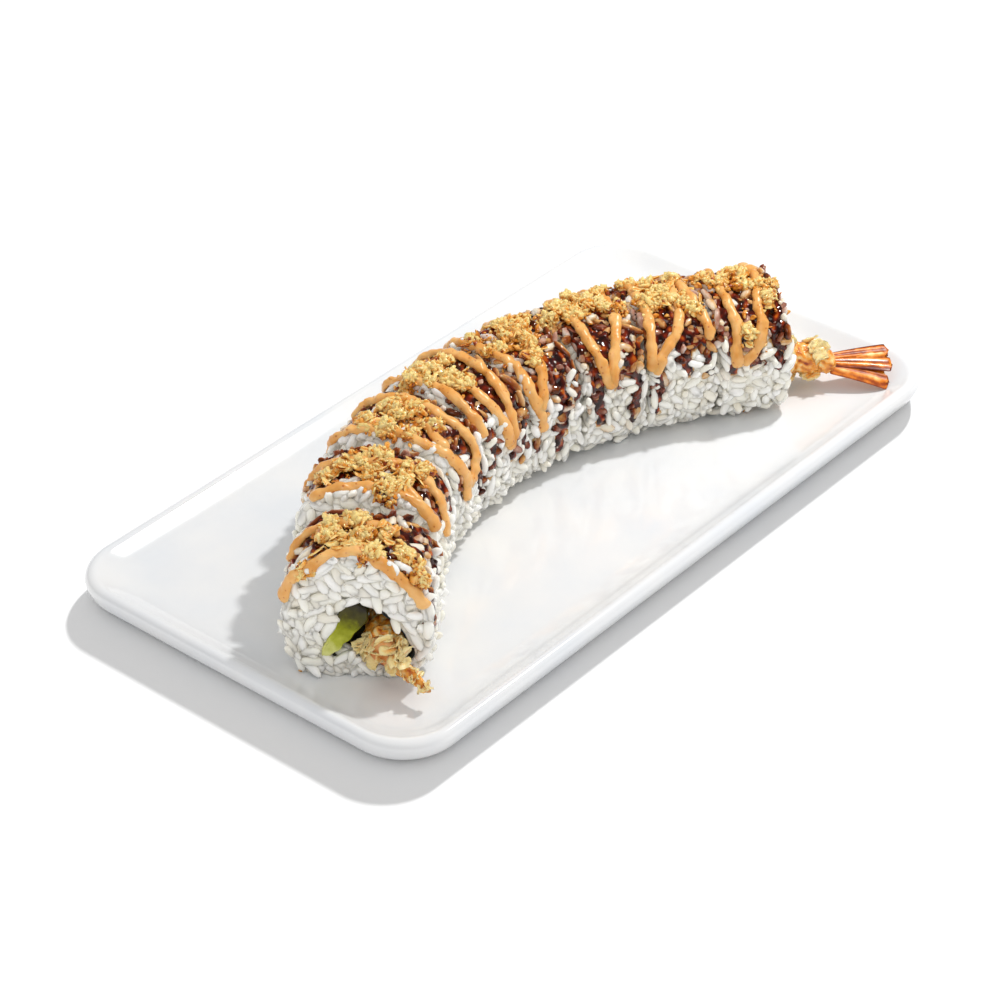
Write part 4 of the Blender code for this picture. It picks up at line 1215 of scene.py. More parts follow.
def petals(rng, path, first, last, count, low_turn, high_turn, length, width, out, stand):
    """Curled chips of batter set round a tapering path, flat on it or standing out."""
    along = rng.uniform(first, last, count)
    row = [np.interp(along, path[:, 0], path[:, k]) for k in range(1, 5)]
    turn = rng.uniform(low_turn, high_turn, count)
    away = np.stack([np.zeros(count), np.cos(turn), np.sin(turn)], axis=1)
    half = np.stack([np.zeros(count), row[2], row[3]], axis=1)
    middle = np.stack([along, row[0], row[1]], axis=1) + away * (half + out * MM)
    lean = rng.normal(0.0, 0.5, count)
    side = np.stack([np.zeros(count), -np.sin(turn), np.cos(turn)], axis=1)
    ahead = np.broadcast_to([1.0, 0.0, 0.0], side.shape)
    long_way = np.cos(lean)[:, None] * ahead + np.sin(lean)[:, None] * side
    axes = turned_axes(long_way, away, rng.normal(0.0, 0.35, count),
                       stand + rng.normal(0.0, 0.45, count))
    points, brown_and_shade = flakes(rng, middle, axes, rng.uniform(*length, count) * MM,
                          rng.uniform(*width, count) * MM, 0.26 * MM,
                          rng.uniform(-0.1, 0.8, count), 0.13)
    return points, brown_and_shade


COAT_AROUND = 56
COAT_STATIONS = 90


def coat(path, first, last, grow, rough, seed):
    """A lumpy tube close round a tapering path, and how brown it is, as a closed part.

    Its wall is grow thick at first and last, closes in a quarter circle at both ends, and
    noise of two sizes lifts it by up to rough.
    """
    inside = path[(path[:, 0] > first) & (path[:, 0] < last)]
    around = COAT_AROUND
    layers = []
    for wall, lumps in ((grow[0], rough), (0.15 * MM, 0.0)):
        wall = np.interp(inside[:, 0], (first, last), (wall, min(wall, grow[1])))[:, None]
        rings = tube(inside, around, 1.0 + wall / inside[:, 3:4] + np.zeros((1, around)))
        uneven = waves(rings, 3.2 * MM, seed) + 0.5 * waves(rings, 1.3 * MM, seed + 3)
        end = np.minimum(rings[..., 0] - first, last - rings[..., 0]) / (2.0 * MM)
        thin = np.sqrt(np.clip(end, 0.05, 1.0))
        swell = 1.0 + (wall * thin + lumps * uneven * thin) / inside[:, 3:4]
        layers.append(tube(inside, around, swell))
    rings = np.concatenate([layers[0], layers[1][::-1]])
    shell = rings.reshape(-1, 3)
    tone = 0.40 - 0.6 * rough / MM * waves(shell, 2.4 * MM, seed)
    return shell, lattice(len(rings), around, close=True), NO_TRIANGLES, tone


# Where the petals stand on each end of the shrimp: how many, the walk from the cut face in
# millimetres, the turn round the body in radians (0 is across, 1.57 up), the length and the
# width and the height off the body in millimetres, and how far they stand up in radians.
FRONT_PETALS = (
    (8, (-4.0, 0.5), (-0.9, 0.7), (2.5, 3.7), (1.5, 2.4), 2.3, 1.1),
    (5, (-4.5, 0.5), (1.9, 3.3), (2.4, 3.5), (1.5, 2.3), 1.4, 1.1),
    (9, (-9.0, 0.0), (0.2, 1.5), (2.7, 3.9), (1.7, 2.6), 1.5, 1.0),
    (5, (-8.0, 1.0), (0.0, 2.0), (2.6, 3.8), (1.6, 2.4), 0.4, 0.2),
    (16, (-14.0, -8.0), (-0.8, 2.6), (1.6, 2.8), (0.6, 1.1), 0.1, 0.0),
)
REAR_PETALS = (
    (12, (0.5, 6.5), (0.9, 2.5), (2.4, 3.8), (1.8, 2.8), 3.2, 0.9),
    (10, (13.5, 18.0), (0.9, 3.0), (2.2, 3.4), (1.8, 2.8), 3.1, 0.7),
    (12, (0.5, 8.0), (3.9, 5.4), (2.2, 3.4), (1.8, 2.6), 3.0, 0.8),
    (5, (13.0, 16.0), (4.0, 5.0), (2.6, 4.0), (1.8, 2.8), 3.2, 1.1),
)


def build_batter(cut, finish):
    """The fried coat: a lumpy tube close round the meat, with curled petals where it shows."""
    number = cut.number
    rng = np.random.default_rng(SEED + 40 + number)
    whole = spine(cut, f"shrimp_{number}")
    path = spline(whole, COAT_STATIONS)
    body = cut.local(node_points(f"batter_{number}"))[:, 0]
    first, last = body.min(), body.max()
    face = cut.half_thick
    rows, parts = (), []
    if number == 1:
        tip = path[:, 0].min()
        parts.append(coat(path, tip, tip + 7.5 * MM, (0.5 * MM, 0.3 * MM), 0.35 * MM, SEED))
        first, rows, face = -face + 0.5 * MM, FRONT_PETALS, -face
    if number == SLICES:
        rows = REAR_PETALS
        parts.append(coat(path, face - 4.0 * MM, path[-1, 0], (2.2 * MM, 2.3 * MM), 0.35 * MM,
                          SEED + 9))
        last = face - 2.0 * MM
    parts.append(coat(path, first, last, (1.7 * MM, 1.7 * MM), 0.45 * MM, SEED + number))
    parts = [(part[0], *turned_outwards(*part[:3]), part[3]) for part in parts]
    faces = sheet_faces(FLAKE_ROWS, FLAKE_COLUMNS)
    for count, walk, turn, length, width, out, stand in rows:
        points, brown_and_shade = petals(rng, whole, face + walk[0] * MM, face + walk[1] * MM, count,
                              *turn, length, width, out, stand)
        points = points.reshape(-1, 3)
        quads = copied_faces(faces, count, len(points) // count)
        tone = brown_and_shade.ravel() - 0.28
        parts.append((points, *turned_outwards(points, quads, NO_TRIANGLES), tone))
    points, quads, triangles, brown_and_shade = joined(parts)
    piece(f"fried_batter_{number}", cut.world(points), quads, triangles, finish,
          [f"batter_{number}"], {"brown_and_shade": brown_and_shade})


# ---- tail ----

# Each blade's turn from the middle one in degrees, its length's share and half width in mm.
TAIL_BLADES = ((-12.0, 0.95, 2.3), (-6.6, 0.90, 2.3), (0.2, 0.99, 2.7), (6.4, 0.94, 2.2),
               (12.0, 1.00, 2.3))
BLADE_AROUND = 28
BLADE_STATIONS = 40
# How far into the batter the fan's root reaches, and how far from the root's middle the
# outermost blades start.
FAN_ROOT = 3.0 * MM
FAN_HALF_ROOT = 2.5 * MM


def blade(k, frame_of_fan):
    """One blade of the fan: a flattened tube, and how much of a ridge each point is.

    Its half width grows evenly from root to tip and it gets thinner, waves across it are
    its grooves, and it closes close to its square end. Every other blade lies lower, and
    the middle ones arch up.
    """
    root, reach, way, side, thin = frame_of_fan
    degrees, share, wide = TAIL_BLADES[k]
    t = np.linspace(0.0, 1.0, BLADE_STATIONS)[:, None]
    turn = np.linspace(0.0, 2.0 * math.pi, BLADE_AROUND, endpoint=False)[None]
    angle = math.radians(degrees)
    spread = degrees / TAIL_BLADES[-1][0]
    ahead = math.cos(angle) * way + math.sin(angle) * side
    beside = -math.sin(angle) * way + math.cos(angle) * side
    close = np.clip(1.0 - ((t - 0.5) / 0.5) ** 40, 0.0, 1.0) ** 0.5
    across = wide * (0.8 + 0.5 * t) * MM * close * np.cos(turn)
    wave = np.cos(2.0 * math.pi * np.cos(turn) + 0.8 * k)
    lift = (0.9 - 0.5 * t) * MM * close * np.sin(turn) * (1.0 + 0.28 * wave)
    arch = (1.3 * MM * (1.0 - spread ** 2) * t - (0.5 + 0.4 * t) * (k % 2) * MM
            + 0.55 * MM * np.cos(turn) * math.sin(2.2 * k + 1.0))
    bow = 0.6 * MM * math.sin(3.1 * k + 0.6) * np.sin(math.pi * t)
    ragged = 0.45 * MM * np.sin(4.0 * np.cos(turn) + 2.0 * k) * smooth_step(t, 0.8, 1.0)
    along = reach * share * t + ragged
    points = (root + spread * FAN_HALF_ROOT * side + along[..., None] * ahead
              + (across + bow)[..., None] * beside + (lift + arch)[..., None] * thin)
    # The ridge value is high on the grooves' crests, painted pale as highlight, and low in the
    # grooves, painted darker as shade; the blade's side edges are darker red.
    ridge = 0.60 + 0.20 * wave + 0.10 * math.sin(2.6 * k)
    ridge = ridge - 0.50 * np.abs(np.cos(turn)) ** 5
    value = np.concatenate([np.broadcast_to(ridge, points.shape[:2]).ravel(), [0.3, 0.5]])
    points = np.concatenate([points.reshape(-1, 3), points[[0, -1]].mean(1)])
    quads, triangles = turned_outwards(points, lattice(BLADE_STATIONS, BLADE_AROUND),
                                       caps(BLADE_STATIONS, BLADE_AROUND))
    return points, quads, triangles, value


def build_tail(finish):
    """The shell's fan: blades side by side from a broad root, grooved and cut square.

    The fan's root, length and plane are read from the tail's body: it runs from the body's
    near end to its far end, and it is thin the way that the body is.
    """
    cut = slices[-1]
    body = cut.local(node_points("shrimp_tail"))
    near_end = body[:, 0].min()
    root = body[body[:, 0] < near_end + 1.5 * MM].mean(0)
    end = body[body[:, 0] > near_end + 11.0 * MM].mean(0)
    way = (end - root) / np.linalg.norm(end - root)
    thin = np.linalg.svd(body - body.mean(0), full_matrices=False)[2][2]
    thin = thin * np.sign(thin[2])
    side = np.cross(thin, way)
    side /= np.linalg.norm(side)
    reach = ((body - root) @ way).max() + FAN_ROOT
    fan = (root - FAN_ROOT * way, reach, way, side, thin)
    points, quads, triangles, ridge = joined([blade(k, fan) for k in range(len(TAIL_BLADES))])
    piece("tail_fan", cut.world(points), quads, triangles, finish, ["shrimp_tail"],
          {"ridge": ridge})


# ---- dark sauce ----

# Where the film starts and ends down the skin, in millimetres, and its grid's step.
FILM_FROM, FILM_TO, FILM_STEP = -36.0, 58.0, 0.62
FILM_COLUMNS = 44
# How deep the film's underside and its driest surface lie, and how far full sauce rises.
FILM_BASE = -3.2 * MM
FILM_DRY = -2.6 * MM
FILM_RISE = 2.55 * MM


def build_glaze(cut, finish):
    """The dark sauce: a film between the grains, at a height that its amount sets.

    Over a grid along and down the skin it lies deep in the rice where there is no sauce,
    and rises towards the grains' tops where there is more.
    """
    down = np.arange(FILM_FROM, FILM_TO, FILM_STEP)[:, None] * MM
    share = np.linspace(-1.0, 1.0, FILM_COLUMNS)[None]
    side = cut.section(down)[0]
    along = share * (cut.half_at(side) + 0.6 * MM)
    down = down + np.zeros_like(along)
    amount = cut.soaked(along, down)
    place = np.stack([along, down], axis=-1)
    ripple = waves(place, 4.0 * MM, SEED + 60 + cut.number)
    lift = FILM_DRY + amount * (FILM_RISE + 0.45 * MM * ripple)
    top = cut.skin(along, down, lift)
    base = cut.skin(along, down, FILM_BASE)
    rows, columns = along.shape
    thick = 0.55 + 0.30 * waves(place, 3.6 * MM, SEED + 61 + cut.number)
    piece(f"eel_glaze_{cut.number}", np.concatenate([top.reshape(-1, 3), base.reshape(-1, 3)]),
          sheet_faces(rows, columns), NO_TRIANGLES, finish,
          [f"rice_{cut.number}"], {"thick": np.tile(thick.ravel(), 2)})


# ---- chilli mayonnaise ----

STRIPE_AROUND = 16
STRIPE_STEP = 0.7 * MM
# How high a line's middle lies over the first slice's skin, and over the others'.
FIRST_STRIPE_LIFT = 0.95 * MM
STRIPE_LIFT = 0.45 * MM


def stripe(cut, route, sizes, seed):
    """One squeezed line: a domed section carried along its route over the skin.

    The section is half an oval above and a shallow one below. It is wider where the line
    turns low on the side, wavers a little, and closes in a quarter circle at each end.
    """
    route = np.array(route) * MM
    length = np.linalg.norm(np.diff(route, axis=0), axis=1).sum()
    count = max(int(length / STRIPE_STEP), 12)
    line = spline(route, count)
    along, down = line.T
    lift = FIRST_STRIPE_LIFT if cut.number == 1 else STRIPE_LIFT
    middle = cut.skin(along, down, lift + 0.35 * MM * waves(line, 6.0 * MM, seed))
    normal = cut.skin_normal(along, down)
    ahead = np.gradient(middle, axis=0)
    ahead /= np.linalg.norm(ahead, axis=1)[:, None]
    side = np.cross(normal, ahead)
    side /= np.linalg.norm(side, axis=1)[:, None]
    walked = np.linspace(0.0, length, count)
    end = np.minimum(walked, length - walked) / (0.5 * sizes.stripe_width)
    close = np.sqrt(np.clip(1.0 - (1.0 - np.clip(end, 0.0, 1.0)) ** 2, 0.02, 1.0))
    low = smooth_step(down, 18.0 * MM, 32.0 * MM)
    wide = 0.5 * sizes.stripe_width * (0.96 + 0.2 * low + 0.17 * waves(line, 7 * MM, seed + 1))
    turn = np.linspace(0.0, 2.0 * math.pi, STRIPE_AROUND, endpoint=False)
    cos, sin = np.cos(turn), np.sin(turn)
    high = np.where(sin > 0.0, 0.62, 0.38) * sizes.stripe_height * sin
    bulge = np.sign(cos) * np.abs(cos) ** 0.85
    rings = (middle[:, None]
             + side[:, None] * (wide * close)[:, None, None] * bulge[None, :, None]
             + normal[:, None] * close[:, None, None] * high[None, :, None])
    lumps = 0.2 * MM * close[:, None] * waves(rings, 2.6 * MM, seed + 2)
    rings = rings + lumps[..., None] * (bulge[None, :, None] * side[:, None]
                                        + sin[None, :, None] * normal[:, None])
    points = np.concatenate([rings.reshape(-1, 3), middle[:1], middle[-1:]])
    return points, lattice(count, STRIPE_AROUND), caps(count, STRIPE_AROUND)


def build_mayonnaise(finish, sizes):
    """Every squeezed line, joined into one piece for each slice."""
    for cut in slices:
        parts = []
        for k, (number, route) in enumerate(STRIPES):
            if number == cut.number:
                points, quads, triangles = stripe(cut, route, sizes, SEED + 80 + 3 * k)
                quads, triangles = turned_outwards(points, quads, triangles)
                parts.append((points, quads, triangles, np.zeros(len(points))))
        points, quads, triangles, _ = joined(parts)
        piece(f"chilli_mayonnaise_{cut.number}", points, quads, triangles, finish,
              [f"crunch_{cut.number}"])


# ---- crunch ----

CRUMB_RINGS = 3
CRUMB_AROUND = 6
# Clumps at each spot, bits in a clump, loose bits on a slice, and flakes on a slice, with
# more and longer ones on the first slices.
CLUMP_PARTS = 2
BITS = 112
LOOSE_BITS = 80
FLAKES_EACH = 26
FRONT_SLICES = 2
FRONT_FLAKES = 16
FRONT_FLAKE_SIZE = 1.25
# A clump's radius and its middle's height over the skin, least and most, in millimetres.
CLUMP_RADIUS = (1.6, 3.6)
CLUMP_LIFT = (0.6, 2.0)
# A bit's half size: the least, how much more the largest has, and its proportions.
BIT_LEAST, BIT_SPREAD = 0.34, 0.95
BIT_SHAPE = (1.45, 0.9, 0.8)


def crumb_shape():
    """A small ball of three rings and two poles, 24 faces, to be made craggy."""
    lean = np.linspace(0.0, math.pi, CRUMB_RINGS + 2)[1:-1]
    turn = np.linspace(0.0, 2.0 * math.pi, CRUMB_AROUND, endpoint=False)
    ring = np.stack([np.broadcast_to(-np.cos(lean)[:, None], (CRUMB_RINGS, CRUMB_AROUND)),
                     np.sin(lean)[:, None] * np.cos(turn),
                     np.sin(lean)[:, None] * np.sin(turn)], axis=2)
    shape = np.concatenate([ring.reshape(-1, 3), [[-1.0, 0.0, 0.0], [1.0, 0.0, 0.0]]])
    return shape, lattice(CRUMB_RINGS, CRUMB_AROUND), caps(CRUMB_RINGS, CRUMB_AROUND)


def random_axes(rng, count):
    """Three axes turned at random for each of count copies."""
    first = rng.normal(size=(count, 3))
    first /= np.linalg.norm(first, axis=1)[:, None]
    other = np.cross(first, rng.normal(size=(count, 3)))
    other /= np.linalg.norm(other, axis=1)[:, None]
    return np.stack([first, other, np.cross(first, other)], axis=1)


def clump_places(cut, rng, count, spread):
    """Places round a slice's clumps, each clump in turn: along and down."""
    spots = np.array(CLUMPS[cut.number - 1], float) * MM
    spot = spots[np.arange(count) % len(spots)] + rng.normal(0.0, spread, (count, 2))
    return spot[:, 0].clip(-cut.half_thick - 1.0 * MM, cut.half_thick), spot[:, 1]


def heaped_bits(cut, rng):
    """The bits of a slice's clumps: where each lies, and how brown it is.

    A clump's bits fill a ball that is flattened and drawn out one way along the skin. Bits
    low in the heap are browner, partly from sauce they have drunk and partly as painted
    shade of the heap above them.
    """
    clumps = CLUMP_PARTS * len(CLUMPS[cut.number - 1])
    along, down = clump_places(cut, rng, clumps, 1.3 * MM)
    middle = cut.skin(along, down, rng.uniform(*CLUMP_LIFT, clumps) * MM)
    radius = rng.uniform(*CLUMP_RADIUS, clumps) * MM
    radius *= 1.0 - 0.35 * smooth_step(np.abs(down), 9.0 * MM, 18.0 * MM)
    spot = rng.normal(size=(clumps, BITS, 3))
    spot /= np.linalg.norm(spot, axis=2)[..., None]
    spot *= rng.uniform(0.30, 1.0, (clumps, BITS, 1)) ** 0.6
    normal = cut.skin_normal(along, down)[:, None]
    offset = spot * radius[:, None, None]
    rise = (offset * normal).sum(-1, keepdims=True)
    long_way = np.cross(normal, rng.normal(size=(clumps, 1, 3)))
    long_way /= np.linalg.norm(long_way, axis=2)[..., None]
    offset = offset + (0.55 * (offset * long_way).sum(-1, keepdims=True) * long_way
                       - 0.40 * rise * normal)
    depth = (rise / radius[:, None, None]).ravel()
    # Deeper bits are browner: part soaked sauce, part painted shade.
    tone = 0.42 - 0.50 * depth + rng.normal(0.0, 0.14, clumps * BITS)
    tone = tone + np.repeat(rng.normal(0.0, 0.08, clumps), BITS)
    return (middle[:, None] + offset).reshape(-1, 3), tone


def loose_bits(cut, rng):
    """Bits that lie singly near the clumps, the first of them fallen on the plate."""
    along, down = clump_places(cut, rng, LOOSE_BITS, 4.5 * MM)
    loose = cut.skin(along, down, rng.uniform(0.2, 0.9, LOOSE_BITS) * MM)
    fallen = [place for number, *place in FALLEN_CRUMBS if number == cut.number]
    loose[:len(fallen)] = np.array(fallen).reshape(-1, 3) * MM
    return loose, rng.uniform(0.2, 0.6, LOOSE_BITS)


def build_crumbs(finish):
    """Fried crumbs: each bit is a small ball whose points are moved in and out at random."""
    shape, quads, triangles = crumb_shape()
    for cut in slices:
        rng = np.random.default_rng(SEED + 200 + cut.number)
        groups = zip(heaped_bits(cut, rng), loose_bits(cut, rng))
        bits, tone = (np.concatenate(part) for part in groups)
        count = len(bits)
        size = (BIT_LEAST + BIT_SPREAD * rng.uniform(0.0, 1.0, (count, 1)) ** 2.0) * MM
        size = size * np.array(BIT_SHAPE) * rng.uniform(0.8, 1.25, (count, 3))
        swell = rng.uniform(0.60, 1.40, (count, len(shape), 1))
        made = copies(shape[None] * swell, random_axes(rng, count), bits, size)
        # Points drawn in are painted browner and points pushed out paler: painted shade in each
        # bit's pits.
        tones = tone[:, None] + 0.6 * (1.0 - swell[..., 0])
        piece(f"crunch_crumbs_{cut.number}", made, copied_faces(quads, count, len(shape)),
              copied_faces(triangles, count, len(shape)), finish,
              [f"crunch_{cut.number}"], {"brown_and_shade": tones})


def build_flakes(finish):
    """Curled tempura flakes over and beside the crumbs, most of them on the first slices."""
    points, tones = [], []
    for cut in slices:
        rng = np.random.default_rng(SEED + 300 + cut.number)
        in_front = cut.number <= FRONT_SLICES
        count = FLAKES_EACH + (FRONT_FLAKES if in_front else 0)
        along, down = clump_places(cut, rng, count, 2.2 * MM)
        normal = cut.skin_normal(along, down)
        turn = rng.uniform(0.0, math.pi, count)
        round_way = np.cross(normal, cut.ahead)
        first = np.cos(turn)[:, None] * cut.ahead + np.sin(turn)[:, None] * round_way
        stood = np.where(rng.uniform(size=count) < 0.4, 0.9, 0.1)
        axes = turned_axes(first, normal, stood * rng.choice([-1.0, 1.0], count),
                           rng.normal(0.0, 0.5, count))
        middle = cut.skin(along, down, rng.uniform(1.2, 2.6, count) * MM)
        length = rng.uniform(1.5, 2.7, count) * (FRONT_FLAKE_SIZE if in_front else 1.0) * MM
        made, brown_and_shade = flakes(rng, middle, axes, length, length * rng.uniform(0.45, 0.8, count),
                            0.34 * MM, rng.uniform(-0.2, 0.6, count), 0.14)
        points.append(made)
        tones.append(brown_and_shade + rng.normal(0.0, 0.1, (count, 1)))
    points, tones = np.concatenate(points), np.concatenate(tones)
    faces = sheet_faces(FLAKE_ROWS, FLAKE_COLUMNS)
    piece("crunch_flakes", points, copied_faces(faces, len(points), points.shape[1]),
          NO_TRIANGLES, finish, [f"crunch_{n}" for n in range(1, SLICES + 1)],
          {"brown_and_shade": tones})


# ---- the stage ----

FLOOR_HALF = 20.0
# The room's strength to rays that left a matt surface, and to mirrored ones.
ROOM_STRENGTH = 0.69
ROOM_GLOSSY_STRENGTH = 0.18
# The key is a round softbox: how wide, how strong, its colour, where it hangs and its aim.
KEY_SIZE = 0.045
KEY_POWER = 2.85
KEY_COLOUR = (1.0, 0.99, 0.97)
KEY_PLACE = (0.357, -0.09, 0.623)
KEY_AIM = (0.0, 0.0, 0.02)
# The camera looks at its aim from a turn and a rise in degrees, so many metres away.
CAMERA_LENS = 111.6
CAMERA_AIM = (-0.01115, 0.00069, 0.0)
CAMERA_TURN = -50.25
CAMERA_RISE = 34.76
CAMERA_FAR = 1.0964


def build_floor():
    """The floor: one square of matt white paper, an even white that takes soft shadows."""
    mesh = bpy.data.meshes.new("floor")
    half = FLOOR_HALF
    mesh.from_pydata([(-half, -half, 0), (half, -half, 0), (half, half, 0), (-half, half, 0)],
                     [], [(0, 1, 2, 3)])
    paper, _, shader, _ = new_finish("matt_white_paper", Roughness=0.9)
    shader.inputs["Specular IOR Level"].default_value = 0.1
    shader.inputs["Base Color"].default_value = linear("F3F3F3")
    mesh.materials.append(paper)
    floor = bpy.data.objects.new("floor", mesh)
    bpy.context.scene.collection.objects.link(floor)
    return floor


def fill_room(scene):
    """A soft white room, darker to mirrored rays, which keeps the dark sauce dark."""
    world = bpy.data.worlds.new("soft_white_room")
    world.use_nodes = True
    background = world.node_tree.nodes["Background"]
    background.inputs["Color"].default_value = (1.0, 1.0, 1.0, 1.0)
    gleam = add_node(world.node_tree, "LightPath").outputs["Is Glossy Ray"]
    strength = add_node(world.node_tree, "MapRange",
                        values={"To Min": ROOM_STRENGTH, "To Max": ROOM_GLOSSY_STRENGTH},
                        links={"Value": gleam})
    world.node_tree.links.new(strength.outputs["Result"], background.inputs["Strength"])
    scene.world = world


def group_of(name, *members, state="INCLUDE"):
    """A collection that a lamp's light or shadow is linked to, or kept from."""
    group = bpy.data.collections.new(name)
    for member in members:
        group.objects.link(member)
    for held in group.collection_objects:
        held.light_linking.link_state = state
    return group


def hang_lamps(scene, floor):
    """A key softbox on everything but the floor, a fill on the roll, a sun on the floor."""
    plate = bpy.data.objects["porcelain_plate"]
    floor_alone = group_of("floor_alone", floor)
    plate_alone = group_of("plate_alone", plate)
    all_but_floor = group_of("all_but_floor", floor, state="EXCLUDE")
    roll_alone = group_of("roll_alone", floor, plate, state="EXCLUDE")
    lamps = []
    for name, energy, angle, way, lit, shading in (
            ("front_fill", 0.46, 28.0, (-0.55, -0.45, 0.70), roll_alone, None),
            ("floor_light", 3.7, 3.0, (0.837, 0.33, 0.44), floor_alone, plate_alone)):
        sun = bpy.data.lights.new(name, "SUN")
        sun.energy = energy
        sun.angle = math.radians(angle)
        lamp = bpy.data.objects.new(name, sun)
        lamp.rotation_euler = Vector(way).to_track_quat("Z", "Y").to_euler()
        lamps.append((lamp, lit, shading))
    softbox = bpy.data.lights.new("key", "AREA")
    softbox.shape = "DISK"
    softbox.size = KEY_SIZE
    softbox.energy = KEY_POWER
    softbox.color = KEY_COLOUR
    lamp = bpy.data.objects.new("key", softbox)
    lamp.location = KEY_PLACE
    way = lamp.location - Vector(KEY_AIM)
    lamp.rotation_euler = way.to_track_quat("Z", "Y").to_euler()
    lamps.append((lamp, all_but_floor, None))
    for lamp, lit, shading in lamps:
        scene.collection.objects.link(lamp)
        lamp.light_linking.receiver_collection = lit
        lamp.light_linking.blocker_collection = shading


def set_camera(scene):
    """The camera, back from its aim along its turn and its rise."""
    camera = bpy.data.cameras.new("camera")
    camera.lens = CAMERA_LENS
    camera.sensor_width = 36.0
    camera.clip_end = FLOOR_HALF
    eye = bpy.data.objects.new("camera", camera)
    turn, rise = math.radians(CAMERA_TURN), math.radians(CAMERA_RISE)
    back = Vector((math.sin(turn) * math.cos(rise), -math.cos(turn) * math.cos(rise),
                   math.sin(rise)))
    eye.location = Vector(CAMERA_AIM) + back * CAMERA_FAR
    eye.rotation_euler = back.to_track_quat("Z", "Y").to_euler()
    scene.collection.objects.link(eye)
    scene.camera = eye


# ---- the add-on ----

def length_setting(name, description, usual, least, most):
    """A length that a user may change, given in millimetres."""
    return FloatProperty(name=name, description=description, default=usual * MM,
                         min=least * MM, max=most * MM, unit="LENGTH")


def colour_setting(name, description, code):
    """A colour that a user may change, given as an sRGB hex code."""
    return FloatVectorProperty(name=name, description=description, default=linear(code),
                               size=4, subtype="COLOR")


class MakiSizes(bpy.types.PropertyGroup):
    """The sizes that change how the roll looks."""

    grain_length: length_setting("Grain length", "Length of a rice grain", 7.8, 4.0, 9.0)
    grain_width: length_setting("Grain width", "Width of a rice grain", 3.4, 2.0, 4.0)
    stripe_width: length_setting("Stripe width", "Width of the mayonnaise line", 4.0, 2.0, 8.0)
    stripe_height: length_setting("Stripe height", "Height of that line", 2.7, 1.0, 5.0)


class MakiColours(bpy.types.PropertyGroup):
    """The main colour of each finish."""

    porcelain: colour_setting("Porcelain", "Glaze of the plate", "F7F7F7")
    rice: colour_setting("Rice", "Clean steamed rice", "FDF9EC")
    seaweed: colour_setting("Seaweed", "Toasted laver", "1D241A")
    avocado: colour_setting("Avocado", "Flesh of the avocado", "B4B83C")
    shrimp: colour_setting("Shrimp", "Skin side of the meat", "D07A3A")
    batter: colour_setting("Batter", "Fried coat of the shrimp", "FAA63A")
    crunch: colour_setting("Crunch", "Fried crumbs", "EE9A30")
    tail: colour_setting("Tail", "Shell of the tail", "A84806")
    sauce: colour_setting("Eel sauce", "Dark sweet sauce", "471003")
    mayonnaise: colour_setting("Mayonnaise", "Chilli mayonnaise", "F0BE78")


class MAKI_OT_plate(bpy.types.Operator):
    """Build the porcelain plate"""

    bl_idname = "maki.plate"
    bl_label = "Plate"

    def execute(self, context):
        build_plate()
        return {"FINISHED"}


class MAKI_OT_rice(bpy.types.Operator):
    """Build each slice's rice: its packed core and its grains"""

    bl_idname = "maki.rice"
    bl_label = "Rice"

    def execute(self, context):
        finish = rice_finish()
        for cut in slices:
            build_core(cut, finish)
            build_grains(cut, finish, context.scene.maki_sizes)
        return {"FINISHED"}


class MAKI_OT_seaweed(bpy.types.Operator):
    """Build the seaweed round each slice's filling"""

    bl_idname = "maki.seaweed"
    bl_label = "Seaweed"

    def execute(self, context):
        finish = seaweed_finish()
        for cut in slices:
            build_seaweed(cut, finish)
        return {"FINISHED"}


class MAKI_OT_avocado(bpy.types.Operator):
    """Build each slice's avocado wedge"""

    bl_idname = "maki.avocado"
    bl_label = "Avocado"

    def execute(self, context):
        finish = avocado_finish()
        for cut in slices:
            build_avocado(cut, finish)
        return {"FINISHED"}


class MAKI_OT_shrimp(bpy.types.Operator):
    """Build the shrimp's meat and its tail fan"""

    bl_idname = "maki.shrimp"
    bl_label = "Shrimp"

    def execute(self, context):
        finish = shrimp_finish()
        for cut in slices:
            build_shrimp(cut, finish)
        build_tail(shell_finish())
        return {"FINISHED"}


class MAKI_OT_batter(bpy.types.Operator):
    """Build the fried coat of the shrimp"""

    bl_idname = "maki.batter"
    bl_label = "Batter"

    def execute(self, context):
        finish = fried_finish("tempura_batter", linear("FFE4A2"), main_colours().batter,
                              linear("B04606"))
        for cut in slices:
            build_batter(cut, finish)
        return {"FINISHED"}


class MAKI_OT_glaze(bpy.types.Operator):
    """Build the dark eel sauce on each slice"""

    bl_idname = "maki.glaze"
    bl_label = "Eel sauce"

    def execute(self, context):
        finish = glaze_finish()
        for cut in slices:
            build_glaze(cut, finish)
        return {"FINISHED"}


class MAKI_OT_mayonnaise(bpy.types.Operator):
    """Build the squeezed mayonnaise lines"""

    bl_idname = "maki.mayonnaise"
    bl_label = "Mayonnaise"

    def execute(self, context):
        build_mayonnaise(mayonnaise_finish(), context.scene.maki_sizes)
        return {"FINISHED"}


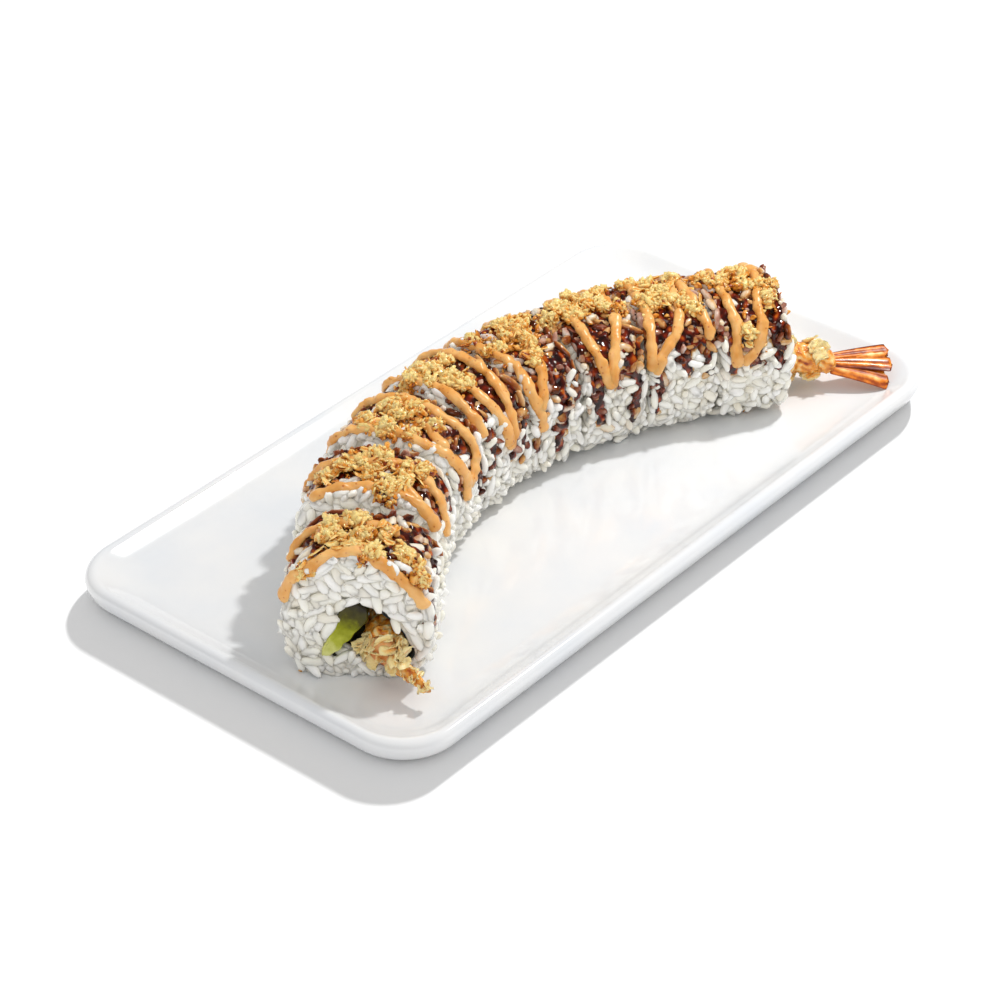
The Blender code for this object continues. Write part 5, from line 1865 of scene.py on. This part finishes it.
class MAKI_OT_crunch(bpy.types.Operator):
    """Build the fried crumbs and flakes on top"""

    bl_idname = "maki.crunch"
    bl_label = "Crunch"

    def execute(self, context):
        finish = fried_finish("tempura_crunch", linear("FFDE90"), main_colours().crunch,
                              linear("8E3202"))
        build_crumbs(finish)
        build_flakes(finish)
        return {"FINISHED"}


class MAKI_OT_stage(bpy.types.Operator):
    """Set the white floor, the soft white room, the three lights and the camera"""

    bl_idname = "maki.stage"
    bl_label = "Stage"

    def execute(self, context):
        floor = build_floor()
        fill_room(context.scene)
        hang_lamps(context.scene, floor)
        set_camera(context.scene)
        context.scene.view_settings.view_transform = "Standard"
        return {"FINISHED"}


OPERATORS = (MAKI_OT_plate, MAKI_OT_rice, MAKI_OT_seaweed, MAKI_OT_avocado, MAKI_OT_shrimp,
             MAKI_OT_batter, MAKI_OT_glaze, MAKI_OT_mayonnaise, MAKI_OT_crunch, MAKI_OT_stage)


class MAKI_PT_panel(bpy.types.Panel):
    """The roll's pieces, sizes and colours in the 3D view's sidebar"""

    bl_idname = "MAKI_PT_panel"
    bl_label = "Maki Roll Plate"
    bl_space_type = "VIEW_3D"
    bl_region_type = "UI"
    bl_category = "Maki"

    def draw(self, context):
        for group in (context.scene.maki_sizes, context.scene.maki_colours):
            box = self.layout.box()
            for name in type(group).__annotations__:
                box.prop(group, name)
        for operator in OPERATORS:
            self.layout.operator(operator.bl_idname)


CLASSES = (MakiSizes, MakiColours, *OPERATORS, MAKI_PT_panel)


def register():
    """Add the classes and their settings to Blender."""
    for each in CLASSES:
        bpy.utils.register_class(each)
    bpy.types.Scene.maki_sizes = PointerProperty(type=MakiSizes)
    bpy.types.Scene.maki_colours = PointerProperty(type=MakiColours)


def unregister():
    """Take them away again."""
    del bpy.types.Scene.maki_sizes
    del bpy.types.Scene.maki_colours
    for each in reversed(CLASSES):
        bpy.utils.unregister_class(each)


def main():
    """Register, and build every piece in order."""
    register()
    for operator in OPERATORS:
        group, name = operator.bl_idname.split(".")
        getattr(getattr(bpy.ops, group), name)()


if __name__ == "__main__":
    main()
